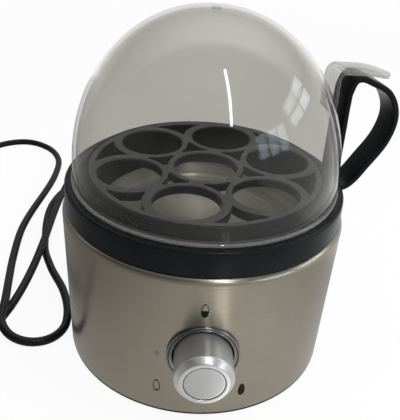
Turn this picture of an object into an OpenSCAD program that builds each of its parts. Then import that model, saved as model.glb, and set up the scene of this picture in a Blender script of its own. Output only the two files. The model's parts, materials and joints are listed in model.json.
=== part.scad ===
// Electric egg cooker: a steel base with a heated water dish, a lift-out egg carrier with a
// loop handle, a clear dome lid with a thumb tab, a turning hardness knob with a push button
// in its face, and a mains lead. Origin on the body's axis at the table, +Z up, knob to -Y.

/* [Housing] */
// Outer diameter of the steel sleeve just below its shoulder
sleeve_top_d = 164; // [158:1:176]
// Outer diameter of the steel sleeve at its lower edge
sleeve_base_d = 159; // [156:1:164]
// Height of the steel sleeve
sleeve_h = 91.8; // [86:0.2:105]
// Thickness of the sleeve's sheet
sleeve_t = 1; // [0.8:0.1:1.4]
// Outer radius of the rounded shoulder
shoulder_r = 3.5; // [2:0.5:4.5]
// Thickness of the base plate
base_t = 3; // [2.6:0.1:4]
// Height of the lip on which the sleeve stands
lip_t = 1.2; // [0.8:0.1:2]
// Height of the base plate above the table
foot_h = 2; // [1:0.5:5]
// Diameter of the rubber foot ring at its middle
foot_ring_d = 128; // [100:1:136]
// Width of the rubber foot ring
foot_ring_w = 6; // [4:0.5:8]

/* [Water dish and heater] */
// Distance of the dish's mouth in from the base plate's edge
dish_inset = 14.1; // [13:0.1:16]
// Width of the dish's flange
dish_flange_w = 8.5; // [7:0.1:9]
// Distance that the dish's wall leans inwards
dish_slope = 3.7; // [2:0.1:6]
// Depth of the dish
dish_depth = 14; // [10:0.5:18]
// Thickness of the dish's sheet
dish_t = 0.8; // [0.6:0.1:1.2]
// Distance of the heat spreader in from the edge of the dish's floor
spreader_inset = 14.5; // [12:0.5:18]
// Thickness of the heat spreader plate
spreader_t = 2; // [1.5:0.5:3]
// Distance of the heating element's middle line in from the spreader's edge
element_inset = 8; // [6:0.5:10]
// Diameter of the heating element's sheath
element_d = 6.4; // [5:0.2:7]
// Diameter of the thermostat
thermostat_d = 16; // [14:0.5:18]
// Distance from the dish's floor down to the heat shield
shield_drop = 17.2; // [16:0.2:20]
// Distance of the heat shield in from the base plate's edge
shield_inset = 3.3; // [2.6:0.1:5]

/* [Egg carrier] */
// Distance of the carrier's ring in from the sleeve's side
ring_inset = 1.7; // [0:0.1:3]
// Height of the carrier's ring
ring_h = 14.7; // [13:0.1:18]
// Thickness of the ring's outer wall
ring_wall = 3; // [2:0.2:3.4]
// Radius of the ring's rounded top edge
ring_edge_r = 2; // [1:0.5:2.5]
// Height of the tray above the ring
tray_rise = 7.1; // [5:0.1:10]
// Thickness of the tray plate
tray_t = 2.5; // [2:0.1:3]
// Distance of the tray's wall in from the ring's side
tray_inset = 11.3; // [10:0.1:13]
// Width of the bridge between neighbouring egg holes
egg_bridge = 7.6; // [6.6:0.1:10]
// Width between an outer egg hole and the tray's wall
egg_edge = 3.4; // [3:0.1:5]
// Depth of the collar below each egg hole
collar_h = 3; // [2:0.5:10]
// Wall of the collar below each egg hole
collar_wall = 1.5; // [1:0.1:1.6]
// Direction of the first outer egg hole, from +X
egg_turn = 15; // [0:1:59]

/* [Carrier handle] */
// Direction of the handle, from +X
handle_turn = 12; // [6:1:18]
// Width of the handle's strap
handle_w = 18; // [14:0.5:22]
// Thickness of the handle's strap
handle_t = 3.5; // [3:0.1:4]
// Height of the handle's top above the ring
handle_rise = 61.5; // [56:0.5:63]
// Reach of the handle beyond the ring
handle_reach = 32; // [28:0.5:38]

/* [Lid] */
// Distance of the dome's foot in from the ring's side
dome_inset = 4.7; // [4.4:0.1:6]
// Height of the dome's upright foot wall
dome_wall_h = 9.2; // [6:0.2:12]
// Height of the dome's curved part
dome_cap_h = 87.9; // [84:0.1:96]
// Wall of the dome
dome_t = 2.2; // [1.8:0.1:2.6]
// Fullness of the dome's curve, where 2 is an ellipse
dome_power = 2.08; // [2:0.01:2.3]
// Distance that the flange stands out of the dome's foot
lid_flange_w = 0.9; // [0.6:0.1:1.1]
// Thickness of the flange round the dome's foot
lid_flange_t = 2; // [1.5:0.1:3]
// Diameter of the steam vent in the dome's top
vent_d = 5; // [3:0.5:8]
// Thickness of the thumb tab
tab_t = 2.8; // [2:0.1:3]
// Reach of the thumb tab beyond its upright
tab_reach = 34; // [26:0.5:36]
// Radius of the thumb tab's bend
tab_bend_r = 4.5; // [4:0.5:6]

/* [Knob] */
// Height of the knob's axis above the table
knob_z = 46.5; // [44:0.5:48]
// Diameter of the knob
knob_d = 31; // [28:0.5:33]
// Distance that the knob stands out of the sleeve
knob_out = 21; // [19:0.5:24]
// Chamfer round the knob's face
knob_chamfer = 2.5; // [1:0.5:3]
// Outer diameter of the bezel round the knob
bezel_d = 39; // [38:0.5:42]
// Distance that the bezel stands out of the sleeve
bezel_out = 1.6; // [1:0.2:3]
// Diameter of the push button in the knob's face
button_d = 21.2; // [19:0.2:22]
// Thickness of the push button's disc
button_t = 3.5; // [3:0.1:3.8]
// Travel of the push button
button_travel = 2; // [1:0.2:2]
// Diameter of the control's shaft
shaft_d = 6; // [5:0.5:7]
// Diameter of the rod between the push button and its switch
rod_d = 3; // [2:0.2:3.4]
// Diameter of the pilot lamp's lens
lens_d = 3; // [2:0.2:4]
// Distance of the pilot lamp to the left of the knob's axis
lens_x = 24; // [23:0.5:25]

/* [Mains lead] */
// Diameter of the mains lead
cord_d = 5.6; // [5:0.1:6]
// Height of the gland above the table
gland_z = 16; // [14:0.5:18]
// Length of the gland's tapered boot
boot_l = 28; // [20:1:36]
// Width of the plug
plug_w = 36; // [30:1:38]
// Thickness of the plug
plug_t = 14; // [12:0.5:16]
// Length of the plug's grip
plug_l = 32; // [26:1:34]
// Diameter of a plug pin
pin_d = 4; // [4:0.1:4.8]
// Length of a plug pin
pin_l = 19; // [16:0.5:20]

/* [Fasteners and clearances] */
// Gap between pieces that lift apart
lift_gap = 0.3; // [0.3:0.1:0.6]
// Gap between pieces that fit together
fit_gap = 0.2; // [0.1:0.05:0.3]
// Radial gap of a running shaft
run_gap = 0.05; // [0.02:0.01:0.08]
// Diameter of the housing screws' shanks
screw_d = 2.8; // [2.4:0.1:3.2]
// Diameter of the housing screws' heads
screw_head_d = 6; // [5:0.2:6.4]

/* [Hidden] */
$fn = 96;

steel = [0.66, 0.63, 0.58];
bright_steel = [0.78, 0.78, 0.77];
black = [0.10, 0.10, 0.11];
clear = [0.86, 0.87, 0.86, 0.4];

// Levels, from the table up
base_z = foot_h;
base_top = base_z + base_t;
sleeve_z = base_z + lip_t;
sleeve_top = sleeve_z + sleeve_h;
seat_z = sleeve_top - sleeve_t;
frame_t = 6;
frame_z = seat_z - frame_t;
dish_rim_top = seat_z + dish_t;
dish_floor_top = dish_rim_top - dish_depth;
dish_under = dish_floor_top - dish_t;
spreader_under = dish_under - spreader_t;
shield_t = 0.8;
shield_top = dish_under - shield_drop;
shield_z = shield_top - shield_t;
ring_z = sleeve_top + lift_gap;
ring_top = ring_z + ring_h;
tray_top = ring_top + tray_rise;
lid_z = ring_top + lift_gap;
dome_cap_z = lid_z + dome_wall_h;

// Radii of the housing
sleeve_top_r = sleeve_top_d / 2;
sleeve_base_r = sleeve_base_d / 2;
shoulder_z = sleeve_top - shoulder_r;
plate_r = sleeve_base_r - sleeve_t - fit_gap;
lip_r = sleeve_base_r - fit_gap;
screw_r = screw_d / 2;
screw_head_r = screw_head_d / 2;
// The inner pieces keep inside the narrower end of the sleeve
sleeve_lean = 2.5;
core_r = min(sleeve_base_r, sleeve_top_r - sleeve_lean) - sleeve_t - fit_gap;
dish_mouth_r = core_r - dish_inset;
dish_floor_r = dish_mouth_r - dish_slope;
dish_flange_r = dish_mouth_r + dish_flange_w;
mouth_r = dish_flange_r + lift_gap;
frame_in_r = dish_mouth_r + dish_t + 1;
frame_out_r = sleeve_top_r - shoulder_r - 1;
foot_out_r = (foot_ring_d + foot_ring_w) / 2;
foot_in_r = foot_out_r - foot_ring_w;
foot_in = 2;
pillar_r = 4.5;
pillar_inset = 7.1;
pillar_pitch_r = core_r - pillar_inset;
seat_wall = 0.8;
screw_seat_r = screw_head_r + fit_gap + seat_wall;
pillar_turns = [60, 180, 300];
shield_r = core_r - shield_inset;
screw_head_h = 1.5;
screw_bore_l = 14;
boss_h = 3;
boss_r = 4;

// Outer radius of the sleeve at a height
function sleeve_r(z) =
    sleeve_base_r + (sleeve_top_r - sleeve_base_r) * (z - sleeve_z) / (shoulder_z - sleeve_z);

// Knob and control, measured outwards along the knob's axis from the body's axis
front_r = sleeve_r(knob_z);
knob_face = front_r + knob_out;
knob_r = knob_d / 2;
knob_wall = 2;
knob_sink = 2.5;
knob_back = front_r - knob_sink;
knob_web = 3;
button_r = button_d / 2;
button_gap = 0.3;
button_sink = 0.2;
button_face = knob_face - button_sink;
button_back = button_face - button_t;
button_room = 0.5;
knob_floor = button_back - button_travel - button_room;
hub_r = shaft_d / 2 + 3;
shaft_r = shaft_d / 2;
shaft_bore_r = rod_d / 2 + 0.1;
bezel_r = bezel_d / 2;
bezel_gap = 0.6;
bezel_depth = 5;
collar_r = knob_r + bezel_gap + 1.7;
control_drop = 17;
plate_front = front_r - control_drop;
bracket_t = 1.5;
plate_back = plate_front - bracket_t;
bracket_half_w = lens_x + 3;
control_l = 9;
control_back = plate_back - control_l;
control_half_w = 8.5;
bushing_r = shaft_r + 1.5;
bushing_l = 6;
nut_t = 2.5;
rod_end = control_back - 1;
switch_front = rod_end - button_travel - 0.4;
switch_l = 5;
board_t = 1.6;
board_front = switch_front - switch_l;
board_back = board_front - board_t;
board_half_w = 25;
board_low = base_top + 9;
board_high = knob_z + 12;
spacer_x = 20;
spacer_z = [board_low + 5, board_high - 5];
spacer_r = 3;
board_screw_r = 1.4;
lens_z = knob_z - 2.5;
lens_r = lens_d / 2;
lens_face = sqrt(pow(sleeve_r(lens_z), 2) - pow(lens_x, 2)) + 0.5;
led_l = 2;

// Egg carrier, lid and handle
ring_r = sleeve_top_r - ring_inset;
tray_r = ring_r - tray_inset;
tray_wall = 2.5;
tray_in_r = tray_r - tray_wall;
ledge_t = 2.5;
hole_r = (tray_in_r - egg_edge - egg_bridge) / 3;
egg_pitch_r = 2 * hole_r + egg_bridge;
web = 3;
lip_gap = 1.6;
lip_out_r = dish_mouth_r - lip_gap;
skirt_t = 1.2;
skirt_h = 4;
lip_wall = 1.5;
lip_drop = 4.5;
dome_r = ring_r - dome_inset;
flange_r = dome_r + lid_flange_w;
arm_in = flange_r + 0.7;
arm_mid = arm_in + handle_t / 2;
arm_out = arm_in + handle_t;
arm_top = ring_top + handle_rise;
slot_gap = 0.2;
slot_in = arm_in - 1.2;
foot_block_in = tray_r + 1;
foot_block_out = arm_out + 1.2;
foot_block_low = ring_z + 1.7;
foot_block_top = ring_top - ledge_t - fit_gap;
handle_screw_r = 1.3;
handle_screw_at = foot_block_in + 3.2;
handle_screw_y = 5;
handle_head_r = 2.5;
handle_head_h = 1.4;

// Radius of the superellipse dome at a height above the start of its curve
function cap_r(r, h, z) = r * pow(1 - pow(z / h, dome_power), 1 / dome_power);

tab_low = dome_cap_z + 30;
tab_mid = cap_r(dome_r, dome_cap_h, tab_low - dome_cap_z) - dome_t / 2 + 0.4;
tab_gap = 0.8;
tab_top = arm_top + tab_gap + tab_t;

// Mains lead and plug
cord_r = cord_d / 2;
cord_sides = 10;
gland_hole_r = cord_r + 2.9;
gland_flange_r = cord_r + 5;
gland_r = sleeve_r(gland_z + gland_flange_r);
gland_flange_t = 2;
gland_in = 9;
boot_end = gland_r + gland_flange_t + boot_l;
plug_bottom = 0.2;
plug_z = plug_bottom + plug_t / 2;
plug_boot_l = 18;
plug_y = 188;
plug_back = -84;
pin_gap = 18.6;

// Route of the lead's middle line, from the gland round the left of the body to the plug
cord_route = [
    [0, boot_end + 0.1, gland_z], [0, boot_end + 5, gland_z], [0, boot_end + 17, 13.2], [0, 170, 4],
    [-15, 204, 3.2], [-50, 224, 3.2], [-87, 212, 6.4], [-105, 184, 12], [-110, 158, 9.8],
    [-113, 78, 9.2], [-115, 56, 6.4], [-119, 30, 3.2], [-124, 4, 3], [-131, -16, 3], [-147, -34, 3],
    [-172, -35, 3], [-190, -14, 3], [-195, 50, 3], [-209, 214, 3], [-189, 266, 3], [-164, 277, 3],
    [-141, 265, 3], [-127, 241, 3], [-124, 212, 3], [-135, 110, 3], [-133, 68, 3.6], [-129, 36, 6.4],
    [-125, 8, 9.4], [-123, -12, 8.6], [-115.5, -21.8, 6], [-104, -25.4, 4.2], [-92.5, -21.8, 3.2],
    [-85, -12, 3], [-84, 4, 3], [-90, 28, 3], [-104, 58, 3], [-113, 86, 3.2], [-110, 174, 4.6],
    [plug_back - 6, plug_y, plug_z], [plug_back - 0.1, plug_y, plug_z]
];

// Direction of a smooth curve at the middle one of three points, where an end's point comes twice
function lean(a, b, c) =
    a == b ? unit(c - b) : b == c ? unit(b - a) : unit(unit(b - a) + unit(c - b));

// Point at a fraction of the way between the two middle points of a smooth curve through four
function smooth(a, b, c, d, t) =
    let (l = norm(c - b), u = l * lean(a, b, c), v = l * lean(b, c, d))
        (2 * t - 3) * t * t * (b - c) + b + t * (1 - t) * ((1 - t) * u - t * v);

// Smooth curve through a list of points, with a step of about the pitch along it
function curve(p, pitch) = [
    for (i = [0 : len(p) - 2])
        let (steps = max(1, round(norm(p[i + 1] - p[i]) / pitch)))
            for (s = [0 : steps - 1])
                smooth(p[max(i - 1, 0)], p[i], p[i + 1], p[min(i + 2, len(p) - 1)], s / steps),
    p[len(p) - 1]
];

function unit(v) = v / norm(v);

// Direction of a path at one of its points
function heading(p, i) = unit(p[min(i + 1, len(p) - 1)] - p[max(i - 1, 0)]);

// Points of a round tube along a path that nowhere runs upright
function tube_points(p, r, sides) = [
    for (i = [0 : len(p) - 1])
        let (t = heading(p, i), u = unit(cross([0, 0, 1], t)), w = cross(t, u))
            for (k = [0 : sides - 1])
                p[i] + r * (cos(360 * k / sides) * u + sin(360 * k / sides) * w)
];

// Points of a round tube along a path that nowhere runs along Y
function riser_points(p, r, sides) = [
    for (i = [0 : len(p) - 1])
        let (t = heading(p, i), u = unit(cross([0, 1, 0], t)), w = cross(t, u))
            for (k = [0 : sides - 1])
                p[i] + r * (cos(360 * k / sides) * u + sin(360 * k / sides) * w)
];

function tube_faces(rings, sides) = [
    [for (k = [0 : sides - 1]) sides - 1 - k],
    for (i = [0 : rings - 2])
        for (k = [0 : sides - 1])
            let (a = i * sides + k, b = i * sides + (k + 1) % sides)
                each [[a, b, b + sides], [a, b + sides, a + sides]],
    [for (k = [0 : sides - 1]) (rings - 1) * sides + k]
];

module tube_along(p, r, sides) {
    polyhedron(tube_points(p, r, sides), tube_faces(len(p), sides));
}

module riser_along(p, r, sides) {
    polyhedron(riser_points(p, r, sides), tube_faces(len(p), sides));
}

// Ring with a square section, standing on z
module ring_solid(r_out, r_in, z, h) {
    translate([0, 0, z])
        difference() {
            cylinder(r = r_out, h = h);
            translate([0, 0, -1])
                cylinder(r = r_in, h = h + 2);
        }
}

// Copies at directions round the axis
module around(turns, r) {
    for (turn = turns)
        rotate([0, 0, turn])
            translate([r, 0, 0])
                children();
}

// Places a shape made along Z onto the knob's axis, with +Z pointing out of the front
module on_knob_axis() {
    translate([0, 0, knob_z])
        rotate([90, 0, 0])
            children();
}

// Box between two corners
module box(low, high) {
    translate(low)
        cube(high - low);
}

// Cylinder along Y between two distances in front of the body's axis
module front_pin(x, z, r, near, far) {
    translate([x, -near, z])
        rotate([90, 0, 0])
            cylinder(r = r, h = far - near);
}

// Box in front of the body's axis, between two distances
module front_box(x, z, half_w, half_h, near, far) {
    box([x - half_w, -far, z - half_h], [x + half_w, -near, z + half_h]);
}

// Housing

module sleeve_outline() {
    polygon([
        [sleeve_base_r - sleeve_t, sleeve_z], [sleeve_base_r, sleeve_z],
        [sleeve_top_r, shoulder_z], [sleeve_top_r - sleeve_t, shoulder_z]
    ]);
    translate([sleeve_top_r - shoulder_r, shoulder_z])
        intersection() {
            difference() {
                circle(r = shoulder_r);
                circle(r = shoulder_r - sleeve_t);
            }
            square(shoulder_r);
        }
    translate([mouth_r, seat_z])
        square([sleeve_top_r - shoulder_r - mouth_r, sleeve_t]);
}

module steel_sleeve() {
    color(steel)
        difference() {
            rotate_extrude()
                sleeve_outline();
            front_pin(0, knob_z, collar_r + fit_gap, plate_front, knob_face);
            front_pin(-lens_x, lens_z, lens_r + run_gap, plate_front, knob_face);
            translate([0, gland_r - 6, gland_z])
                rotate([-90, 0, 0])
                    cylinder(r = gland_hole_r + fit_gap, h = 12);
        }
}

bracket_screw_x = 14;
bracket_foot = 15;
bracket_screw_at = plate_back - bracket_foot / 2;
clamp_at = gland_r - gland_in - 10;
clamp_screw_x = cord_r + 5;

// Round seats of the base screws, which the foot ring and its groove go round
module screw_seats(r) {
    around(pillar_turns, pillar_pitch_r)
        translate([0, 0, base_z])
            cylinder(r = r, h = base_t);
}

module base_plate() {
    color(black)
        difference() {
            union() {
                translate([0, 0, base_z])
                    cylinder(r = plate_r, h = base_t);
                translate([0, 0, base_z])
                    cylinder(r = lip_r, h = lip_t);
                for (x = [-bracket_screw_x, bracket_screw_x])
                    translate([x, -bracket_screw_at, base_top])
                        cylinder(r = boss_r, h = boss_h);
                for (x = [-clamp_screw_x, clamp_screw_x])
                    translate([x, clamp_at, base_top])
                        cylinder(r = boss_r, h = gland_z - base_top);
            }
            difference() {
                ring_solid(foot_out_r + run_gap, foot_in_r - run_gap, base_z - 1, foot_in + 1);
                screw_seats(screw_seat_r);
            }
            around(pillar_turns, pillar_pitch_r) {
                translate([0, 0, base_z - 1])
                    cylinder(r = screw_r + fit_gap, h = base_t + 2);
                translate([0, 0, base_z - 1])
                    cylinder(r = screw_head_r + fit_gap, h = screw_head_h + 1.2);
            }
            for (x = [-bracket_screw_x, bracket_screw_x])
                translate([x, -bracket_screw_at, base_top - 1])
                    cylinder(r = screw_r + run_gap, h = boss_h + 2);
            for (x = [-clamp_screw_x, clamp_screw_x])
                translate([x, clamp_at, base_top - 1])
                    cylinder(r = screw_r + run_gap, h = gland_z);
        }
}

module foot_ring() {
    color([0.06, 0.06, 0.06])
        difference() {
            ring_solid(foot_out_r, foot_in_r, 0, foot_h + foot_in);
            screw_seats(screw_seat_r + run_gap);
        }
}

// Pan-head screw with its head's underside at z = 0 and its shank upwards
module screw_up(r, l, head_r, head_h) {
    translate([0, 0, -head_h])
        cylinder(r = head_r, h = head_h);
    cylinder(r = r, h = l);
}

module base_screws() {
    head_seat = base_z + screw_head_h + 0.2;
    color(bright_steel)
        around(pillar_turns, pillar_pitch_r)
            translate([0, 0, head_seat])
                screw_up(screw_r, base_top - head_seat + screw_bore_l - 1, screw_head_r, screw_head_h);
}

seal_in = frame_in_r + 1.8;
seal_w = 2;
seal_h = 1.4;

module top_frame() {
    color([0.16, 0.16, 0.17])
        difference() {
            union() {
                ring_solid(frame_out_r, frame_in_r, frame_z, frame_t);
                around(pillar_turns, pillar_pitch_r)
                    translate([0, 0, base_top])
                        cylinder(r = pillar_r, h = frame_z - base_top + 1);
            }
            ring_solid(seal_in + seal_w + fit_gap, seal_in - fit_gap, seat_z - seal_h, seal_h + 1);
            around(pillar_turns, pillar_pitch_r)
                translate([0, 0, base_top - 1])
                    cylinder(r = screw_r + run_gap, h = screw_bore_l + 1);
        }
}

// Water dish and heater

module heating_dish() {
    color(bright_steel)
        rotate_extrude()
            polygon([
                [0, dish_under], [dish_floor_r + dish_t, dish_under], [dish_mouth_r + dish_t, seat_z],
                [dish_flange_r, seat_z], [dish_flange_r, dish_rim_top], [dish_mouth_r, dish_rim_top],
                [dish_floor_r, dish_floor_top], [0, dish_floor_top]
            ]);
}

module dish_seal() {
    color([0.45, 0.12, 0.10])
        ring_solid(seal_in + seal_w, seal_in, seat_z - seal_h, seal_h);
}

thermostat_r = thermostat_d / 2;
thermostat_h = 11;
contact_gap = 0.1;
spreader_r = dish_floor_r - spreader_inset;

module heat_spreader() {
    color([0.70, 0.71, 0.72])
        ring_solid(spreader_r, thermostat_r + 1, spreader_under, spreader_t);
}

element_r = element_d / 2;
element_at = spreader_r - element_inset;
element_z = spreader_under - element_r - contact_gap;
element_gap_turn = 30;
element_leg = 9;
element_leg_r = element_r - 0.6;
element_leg_turn = element_gap_turn + 6;
element_ends = [90 - element_leg_turn, 90 + element_leg_turn];

module heating_element() {
    color([0.42, 0.40, 0.38]) {
        translate([0, 0, element_z])
            rotate([0, 0, 90 + element_gap_turn])
                rotate_extrude(angle = 360 - 2 * element_gap_turn)
                    translate([element_at, 0])
                        circle(r = element_r);
        around(element_ends, element_at)
            translate([0, 0, element_z - element_leg])
                cylinder(r = element_leg_r, h = element_leg);
    }
}

blade_w = 6;
blade_t = 0.8;
blade_h = 8;
blade_top = element_z - element_leg;

module element_terminals() {
    color([0.80, 0.68, 0.40])
        around(element_ends, element_at)
            translate([-blade_t / 2, -blade_w / 2, blade_top - blade_h])
                cube([blade_t, blade_w, blade_h]);
}

thermostat_top = dish_under - contact_gap;
thermostat_low = thermostat_top - thermostat_h;

module thermostat() {
    color([0.55, 0.40, 0.22]) {
        translate([0, 0, thermostat_low])
            cylinder(r = thermostat_r, h = thermostat_h);
        for (side = [-1, 1])
            box([side * 4 - 0.4, side * 2 - 2, thermostat_low - 6],
                [side * 4 + 0.4, side * 2 + 2, thermostat_low + 0.5]);
    }
}

strap_half_l = element_at - 18;
strap_half_w = 5;
strap_t = 1;

module thermostat_bracket() {
    slot = 5.2;
    color(bright_steel)
        difference() {
            union() {
                box([-strap_half_l, -strap_half_w, thermostat_low - strap_t],
                    [strap_half_l, strap_half_w, thermostat_low]);
                for (side = [-1, 1])
                    box([side * (strap_half_l - strap_t / 2) - strap_t / 2, -strap_half_w,
                            thermostat_low - strap_t],
                        [side * (strap_half_l - strap_t / 2) + strap_t / 2, strap_half_w,
                            spreader_under]);
            }
            box([-slot, -strap_half_w + 0.7, thermostat_low - strap_t - 1],
                [slot, strap_half_w - 0.7, thermostat_low + 1]);
        }
}

fuse_r = 2;
fuse_l = 12;
fuse_y = 14 - element_at;
fuse_z = spreader_under - fuse_r - contact_gap;

module thermal_fuse() {
    color([0.82, 0.80, 0.74])
        translate([0, fuse_y, fuse_z])
            rotate([0, 90, 0]) {
                translate([0, 0, -fuse_l / 2])
                    cylinder(r = fuse_r, h = fuse_l);
                translate([0, 0, -fuse_l])
                    cylinder(r = 0.5, h = 2 * fuse_l);
            }
}

module fuse_clip() {
    half_w = 3;
    reach = fuse_r + fit_gap;
    low = fuse_z - fuse_r - fit_gap;
    color(bright_steel) {
        box([-half_w, fuse_y - reach - blade_t, low - blade_t], [half_w, fuse_y + reach + blade_t, low]);
        for (side = [-1, 1])
            box([-half_w, fuse_y + side * (reach + blade_t / 2) - blade_t / 2, low - blade_t / 2],
                [half_w, fuse_y + side * (reach + blade_t / 2) + blade_t / 2, spreader_under]);
    }
}

stud_turns = [0, 120, 240];
stud_pitch_r = (dish_floor_r + spreader_r) / 2 + 0.5;
stud_r = 2;
stud_nut_h = 3.2;
stud_low = shield_z - stud_nut_h - 1;
stud_spacer_r = 4;

module dish_studs() {
    color(bright_steel)
        around(stud_turns, stud_pitch_r)
            translate([0, 0, stud_low])
                cylinder(r = stud_r, h = dish_under - stud_low);
}

module shield_spacers() {
    color([0.75, 0.74, 0.70])
        around(stud_turns, stud_pitch_r)
            ring_solid(stud_spacer_r, stud_r + run_gap, shield_top, dish_under - shield_top);
}

terminal_hole_r = blade_w / 2 + 3;

module heat_shield() {
    color([0.72, 0.73, 0.74])
        difference() {
            translate([0, 0, shield_z])
                cylinder(r = shield_r, h = shield_t);
            around(stud_turns, stud_pitch_r)
                translate([0, 0, shield_z - 1])
                    cylinder(r = stud_r + fit_gap, h = shield_t + 2);
            around(pillar_turns, pillar_pitch_r)
                translate([0, 0, shield_z - 1])
                    cylinder(r = pillar_r + fit_gap, h = shield_t + 2);
            around(element_ends, element_at)
                translate([0, 0, shield_z - 1])
                    cylinder(r = terminal_hole_r, h = shield_t + 2);
            translate([0, 0, shield_z - 1])
                cylinder(r = thermostat_r + 2, h = shield_t + 2);
        }
}

module stud_nuts() {
    color(bright_steel)
        around(stud_turns, stud_pitch_r)
            translate([0, 0, shield_z - stud_nut_h])
                difference() {
                    cylinder(r = stud_r * 2, h = stud_nut_h, $fn = 6);
                    translate([0, 0, -1])
                        cylinder(r = stud_r + run_gap, h = stud_nut_h + 2);
                }
}

// Control behind the knob

bracket_low = base_top + boss_h;
bracket_high = board_high + 1;

module control_bracket() {
    color(bright_steel)
        difference() {
            union() {
                box([-bracket_half_w, -plate_front, bracket_low],
                    [bracket_half_w, -plate_back, bracket_high]);
                box([-bracket_half_w, -plate_front, bracket_low],
                    [bracket_half_w, -plate_back + bracket_foot, bracket_low + bracket_t]);
            }
            front_pin(0, knob_z, bushing_r + fit_gap, plate_back - 1, plate_front + 1);
            for (x = [-spacer_x, spacer_x], z = spacer_z)
                front_pin(x, z, board_screw_r + run_gap, plate_back - 1, plate_front + 1);
            for (x = [-bracket_screw_x, bracket_screw_x])
                translate([x, -bracket_screw_at, bracket_low - 1])
                    cylinder(r = screw_r + fit_gap, h = bracket_t + 2);
        }
}

module bracket_screws() {
    color(bright_steel)
        for (x = [-bracket_screw_x, bracket_screw_x])
            translate([x, -bracket_screw_at, bracket_low + bracket_t])
                mirror([0, 0, 1])
                    screw_up(screw_r, boss_h + bracket_t, screw_head_r, screw_head_h);
}

module rotary_control() {
    color([0.20, 0.32, 0.24])
        difference() {
            union() {
                front_box(0, knob_z, control_half_w, control_half_w, control_back, plate_back);
                front_pin(0, knob_z, bushing_r, control_back, plate_front + bushing_l);
            }
            front_pin(0, knob_z, shaft_r + run_gap, control_back + 1, plate_front + bushing_l + 1);
            front_pin(0, knob_z, shaft_bore_r + 0.1, control_back - 1, plate_back);
        }
}

module control_nut() {
    color(bright_steel)
        on_knob_axis()
            translate([0, 0, plate_front])
                difference() {
                    cylinder(r = bushing_r + 2.5, h = nut_t, $fn = 6);
                    translate([0, 0, -1])
                        cylinder(r = bushing_r + run_gap, h = nut_t + 2);
                }
}

module control_board() {
    color([0.10, 0.36, 0.20])
        difference() {
            box([-board_half_w, -board_front, board_low], [board_half_w, -board_back, board_high]);
            for (x = [-spacer_x, spacer_x], z = spacer_z)
                front_pin(x, z, board_screw_r + run_gap, board_back - 1, board_front + 1);
        }
}

module board_spacers() {
    color([0.85, 0.83, 0.78])
        for (x = [-spacer_x, spacer_x], z = spacer_z)
            difference() {
                front_pin(x, z, spacer_r, board_front, plate_back);
                front_pin(x, z, board_screw_r + run_gap, board_front - 1, plate_back + 1);
            }
}

module board_screws() {
    color(bright_steel)
        for (x = [-spacer_x, spacer_x], z = spacer_z) {
            front_pin(x, z, board_screw_r, board_back, plate_front);
            front_pin(x, z, board_screw_r + 1.2, board_back - 1.4, board_back);
        }
}

module push_switch() {
    color([0.14, 0.14, 0.15]) {
        front_box(0, knob_z, 3.5, 3.5, board_front, switch_front);
        front_pin(0, knob_z, rod_d / 2, switch_front - 1, switch_front + 0.2);
    }
}

module relay() {
    color([0.12, 0.25, 0.45])
        front_box(-10, board_low + 10, 6, 8, board_back - 15, board_back);
}

module capacitor() {
    color([0.16, 0.20, 0.30])
        front_pin(9, board_low + 9, 5, board_back - 14, board_back);
}

module buzzer() {
    color([0.09, 0.09, 0.09])
        difference() {
            front_pin(12, knob_z - 2, 6, board_back - 8, board_back);
            front_pin(12, knob_z - 2, 1, board_back - 9, board_back - 5);
        }
}

block_x = -10;
block_z = knob_z;
block_half_w = 6.6;
block_half_h = 5;
block_back = board_back - 12;

module terminal_block() {
    color([0.20, 0.45, 0.30])
        difference() {
            front_box(block_x, block_z, block_half_w, block_half_h, block_back, board_back);
            for (x = [block_x - 4.5, block_x + 4.5])
                translate([x, -block_back - 6, block_z])
                    cylinder(r = wire_r + 0.5, h = block_half_h + 1);
        }
}

wire_r = 1.2;
wire_sides = 8;

// The lead's inner end, from the gland to the terminal block
inner_route = [
    [0, gland_r - gland_in, gland_z], [0, clamp_at, gland_z], [-1, 34, gland_z], [-6, 14, gland_z + 6],
    [-9, -6, gland_z + 17], [block_x, 14 - block_back, block_z - 3], [block_x, 5 - block_back, block_z],
    [block_x, 0.1 - block_back, block_z]
];

module inner_lead() {
    color([0.13, 0.13, 0.13])
        tube_along(curve(inner_route, 12), cord_r - 0.2, wire_sides);
}

// Wire from the terminal block's top up to one of the element's blades
function wire_route(side) =
    let (x = side * element_at * sin(element_leg_turn), y = element_at * cos(element_leg_turn))
        [
            [block_x + side * 4.5, -block_back - 6, block_z + 1],
            [block_x + side * 4.8, -block_back - 5.4, block_z + block_half_h + 2],
            [x * 0.75 + block_x / 4, 4, blade_top - blade_h - 5],
            [x * 0.94, y - 6, blade_top - blade_h - 5.4],
            [x, y - 0.9, blade_top - blade_h - 3.2], [x, y, blade_top - blade_h - 0.45]
        ];

module element_wires() {
    color([0.62, 0.18, 0.14])
        for (side = [-1, 1])
            riser_along(curve(wire_route(side), 8), wire_r, wire_sides);
}

// Lead entry at the back

module cord_gland() {
    color(black)
        translate([0, gland_r - gland_in, gland_z])
            rotate([-90, 0, 0]) {
                cylinder(r = gland_hole_r, h = gland_in + 1);
                translate([0, 0, gland_in])
                    cylinder(r = gland_flange_r, h = gland_flange_t);
                translate([0, 0, gland_in + gland_flange_t])
                    cylinder(r1 = cord_r + 3, r2 = cord_r + 1, h = boot_l);
            }
}

clamp_half_l = clamp_screw_x + 4;
clamp_half_w = 4;

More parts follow.
